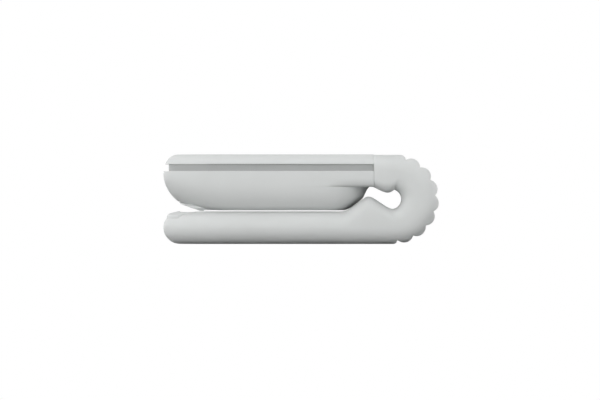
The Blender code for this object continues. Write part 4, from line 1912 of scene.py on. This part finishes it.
def show_camera(
    tree: bpy.types.NodeTree, lit: bpy.types.Node, shown: bpy.types.Node, output: bpy.types.Node
) -> None:
    """Gives the camera's rays one shader and all other rays another.

    Args:
        tree: The node tree that holds the nodes.
        lit: The shader for all other rays.
        shown: The shader that the camera sees.
        output: The tree's output node.
    """
    seen = tree.nodes.new("ShaderNodeLightPath").outputs["Is Camera Ray"]
    values = {"Fac": seen, 1: lit.outputs[0], 2: shown.outputs[0]}
    feed(tree, output, {"Surface": make_node(tree, "ShaderNodeMixShader", values).outputs["Shader"]})


@dataclass
class Studio:
    """Pale floor, soft light and a level camera square to the object's side.

    The key light's place, size and aim and the floor's size are in metres.
    """

    distance: float = 2400.0
    lens: float = 600.0
    aim: Point = (-0.24, 10.5)
    sky: float = 0.79
    band: float = 5.3
    band_height: float = 0.2
    key_power: float = 2.6
    key_place: tuple[float, float, float] = (-0.8, -0.75, 0.35)
    key_size: Point = (0.7, 0.5)
    key_aim: tuple[float, float, float] = (0.0, 0.0, 0.01)
    floor_size: float = 3.0
    floor_tone: float = 0.19

    def build_floor(self) -> None:
        """A wide pale floor under the object."""
        bm = bmesh.new()
        bmesh.ops.create_grid(bm, x_segments=1, y_segments=1, size=self.floor_size)
        floor = as_object("studio_floor", bm)
        material, tree, shader = blank_material("studio_floor")
        tree.nodes.remove(shader)
        output = tree.nodes["Material Output"]
        shown = tree.nodes.new("ShaderNodeEmission")
        bounce = make_node(tree, "ShaderNodeBsdfDiffuse", {"Color": (self.floor_tone,) * 3})
        show_camera(tree, bounce, shown, output)
        floor.data.materials.append(material)

    def build_sky(self) -> None:
        """A white surround that lights from all sides, most from near the horizon."""
        world = bpy.data.worlds.new("studio_sky")
        world.use_nodes = True
        tree = world.node_tree
        light = tree.nodes["Background"]
        where = tree.nodes.new("ShaderNodeTexCoord").outputs["Generated"]
        height = make_node(tree, "ShaderNodeSeparateXYZ", {"Vector": where}).outputs["Z"]
        glow = spread(tree, height, (0.0, self.band_height), self.sky + self.band, self.sky)
        feed(tree, light, {"Strength": glow, "Color": WHITE})
        shown = make_node(tree, "ShaderNodeBackground", {"Color": WHITE})
        show_camera(tree, light, shown, tree.nodes["World Output"])
        bpy.context.scene.world = world

    def build_light(self) -> None:
        """One large soft light from the upper front left."""
        lamp = bpy.data.lights.new("key_softbox", "AREA")
        lamp.shape = "RECTANGLE"
        lamp.size, lamp.size_y = self.key_size
        lamp.energy = self.key_power
        obj = bpy.data.objects.new("key_softbox", lamp)
        bpy.context.scene.collection.objects.link(obj)
        obj.location = self.key_place
        obj.rotation_euler = (Vector(self.key_aim) - obj.location).to_track_quat("-Z", "Y").to_euler()

    def build_camera(self) -> None:
        """A long lens, level with the object's middle."""
        data = bpy.data.cameras.new("side_camera")
        data.lens = self.lens
        data.clip_start = 0.05
        data.clip_end = 20.0
        camera = bpy.data.objects.new("side_camera", data)
        bpy.context.scene.collection.objects.link(camera)
        camera.location = Vector((self.aim[0], -self.distance, self.aim[1])) * MM
        camera.rotation_euler = (math.radians(90), 0.0, 0.0)
        bpy.context.scene.camera = camera

    def build(self) -> None:
        """Sets up the whole studio."""
        self.build_floor()
        self.build_sky()
        self.build_light()
        self.build_camera()
        settings = bpy.context.scene.view_settings
        settings.view_transform = "Standard"
        settings.look = "None"


# ---------------------------------------------------------------- assembly


def main() -> None:
    """Builds every visible piece, the finishes and the studio."""
    logging.basicConfig(level=logging.INFO, format="%(message)s")
    groups = {"tone": moulding_group(), "spark": spark_group(), "brushed": brushed_group()}
    materials = {finish.slot: finish.material(groups) for finish in FINISHES}
    SoftClip().build(materials[Slot.ELASTOMER])
    pads = FingerPads()
    pads.build_lower(materials[Slot.PAD])
    pads.build_upper(materials[Slot.PAD])
    pads.build_windows(materials[Slot.FILTER])
    module = DisplayModule()
    module.build_casing(materials[Slot.SHELL])
    module.build_band(materials[Slot.BAND])
    module.build_cover(materials[Slot.SHELL])
    module.build_window(materials[Slot.WINDOW])
    module.build_button(materials[Slot.BUTTON])
    LoopSprings().build(materials)
    InnerPieces().build(materials)
    Studio().build()


if __name__ == "__main__":
    main()
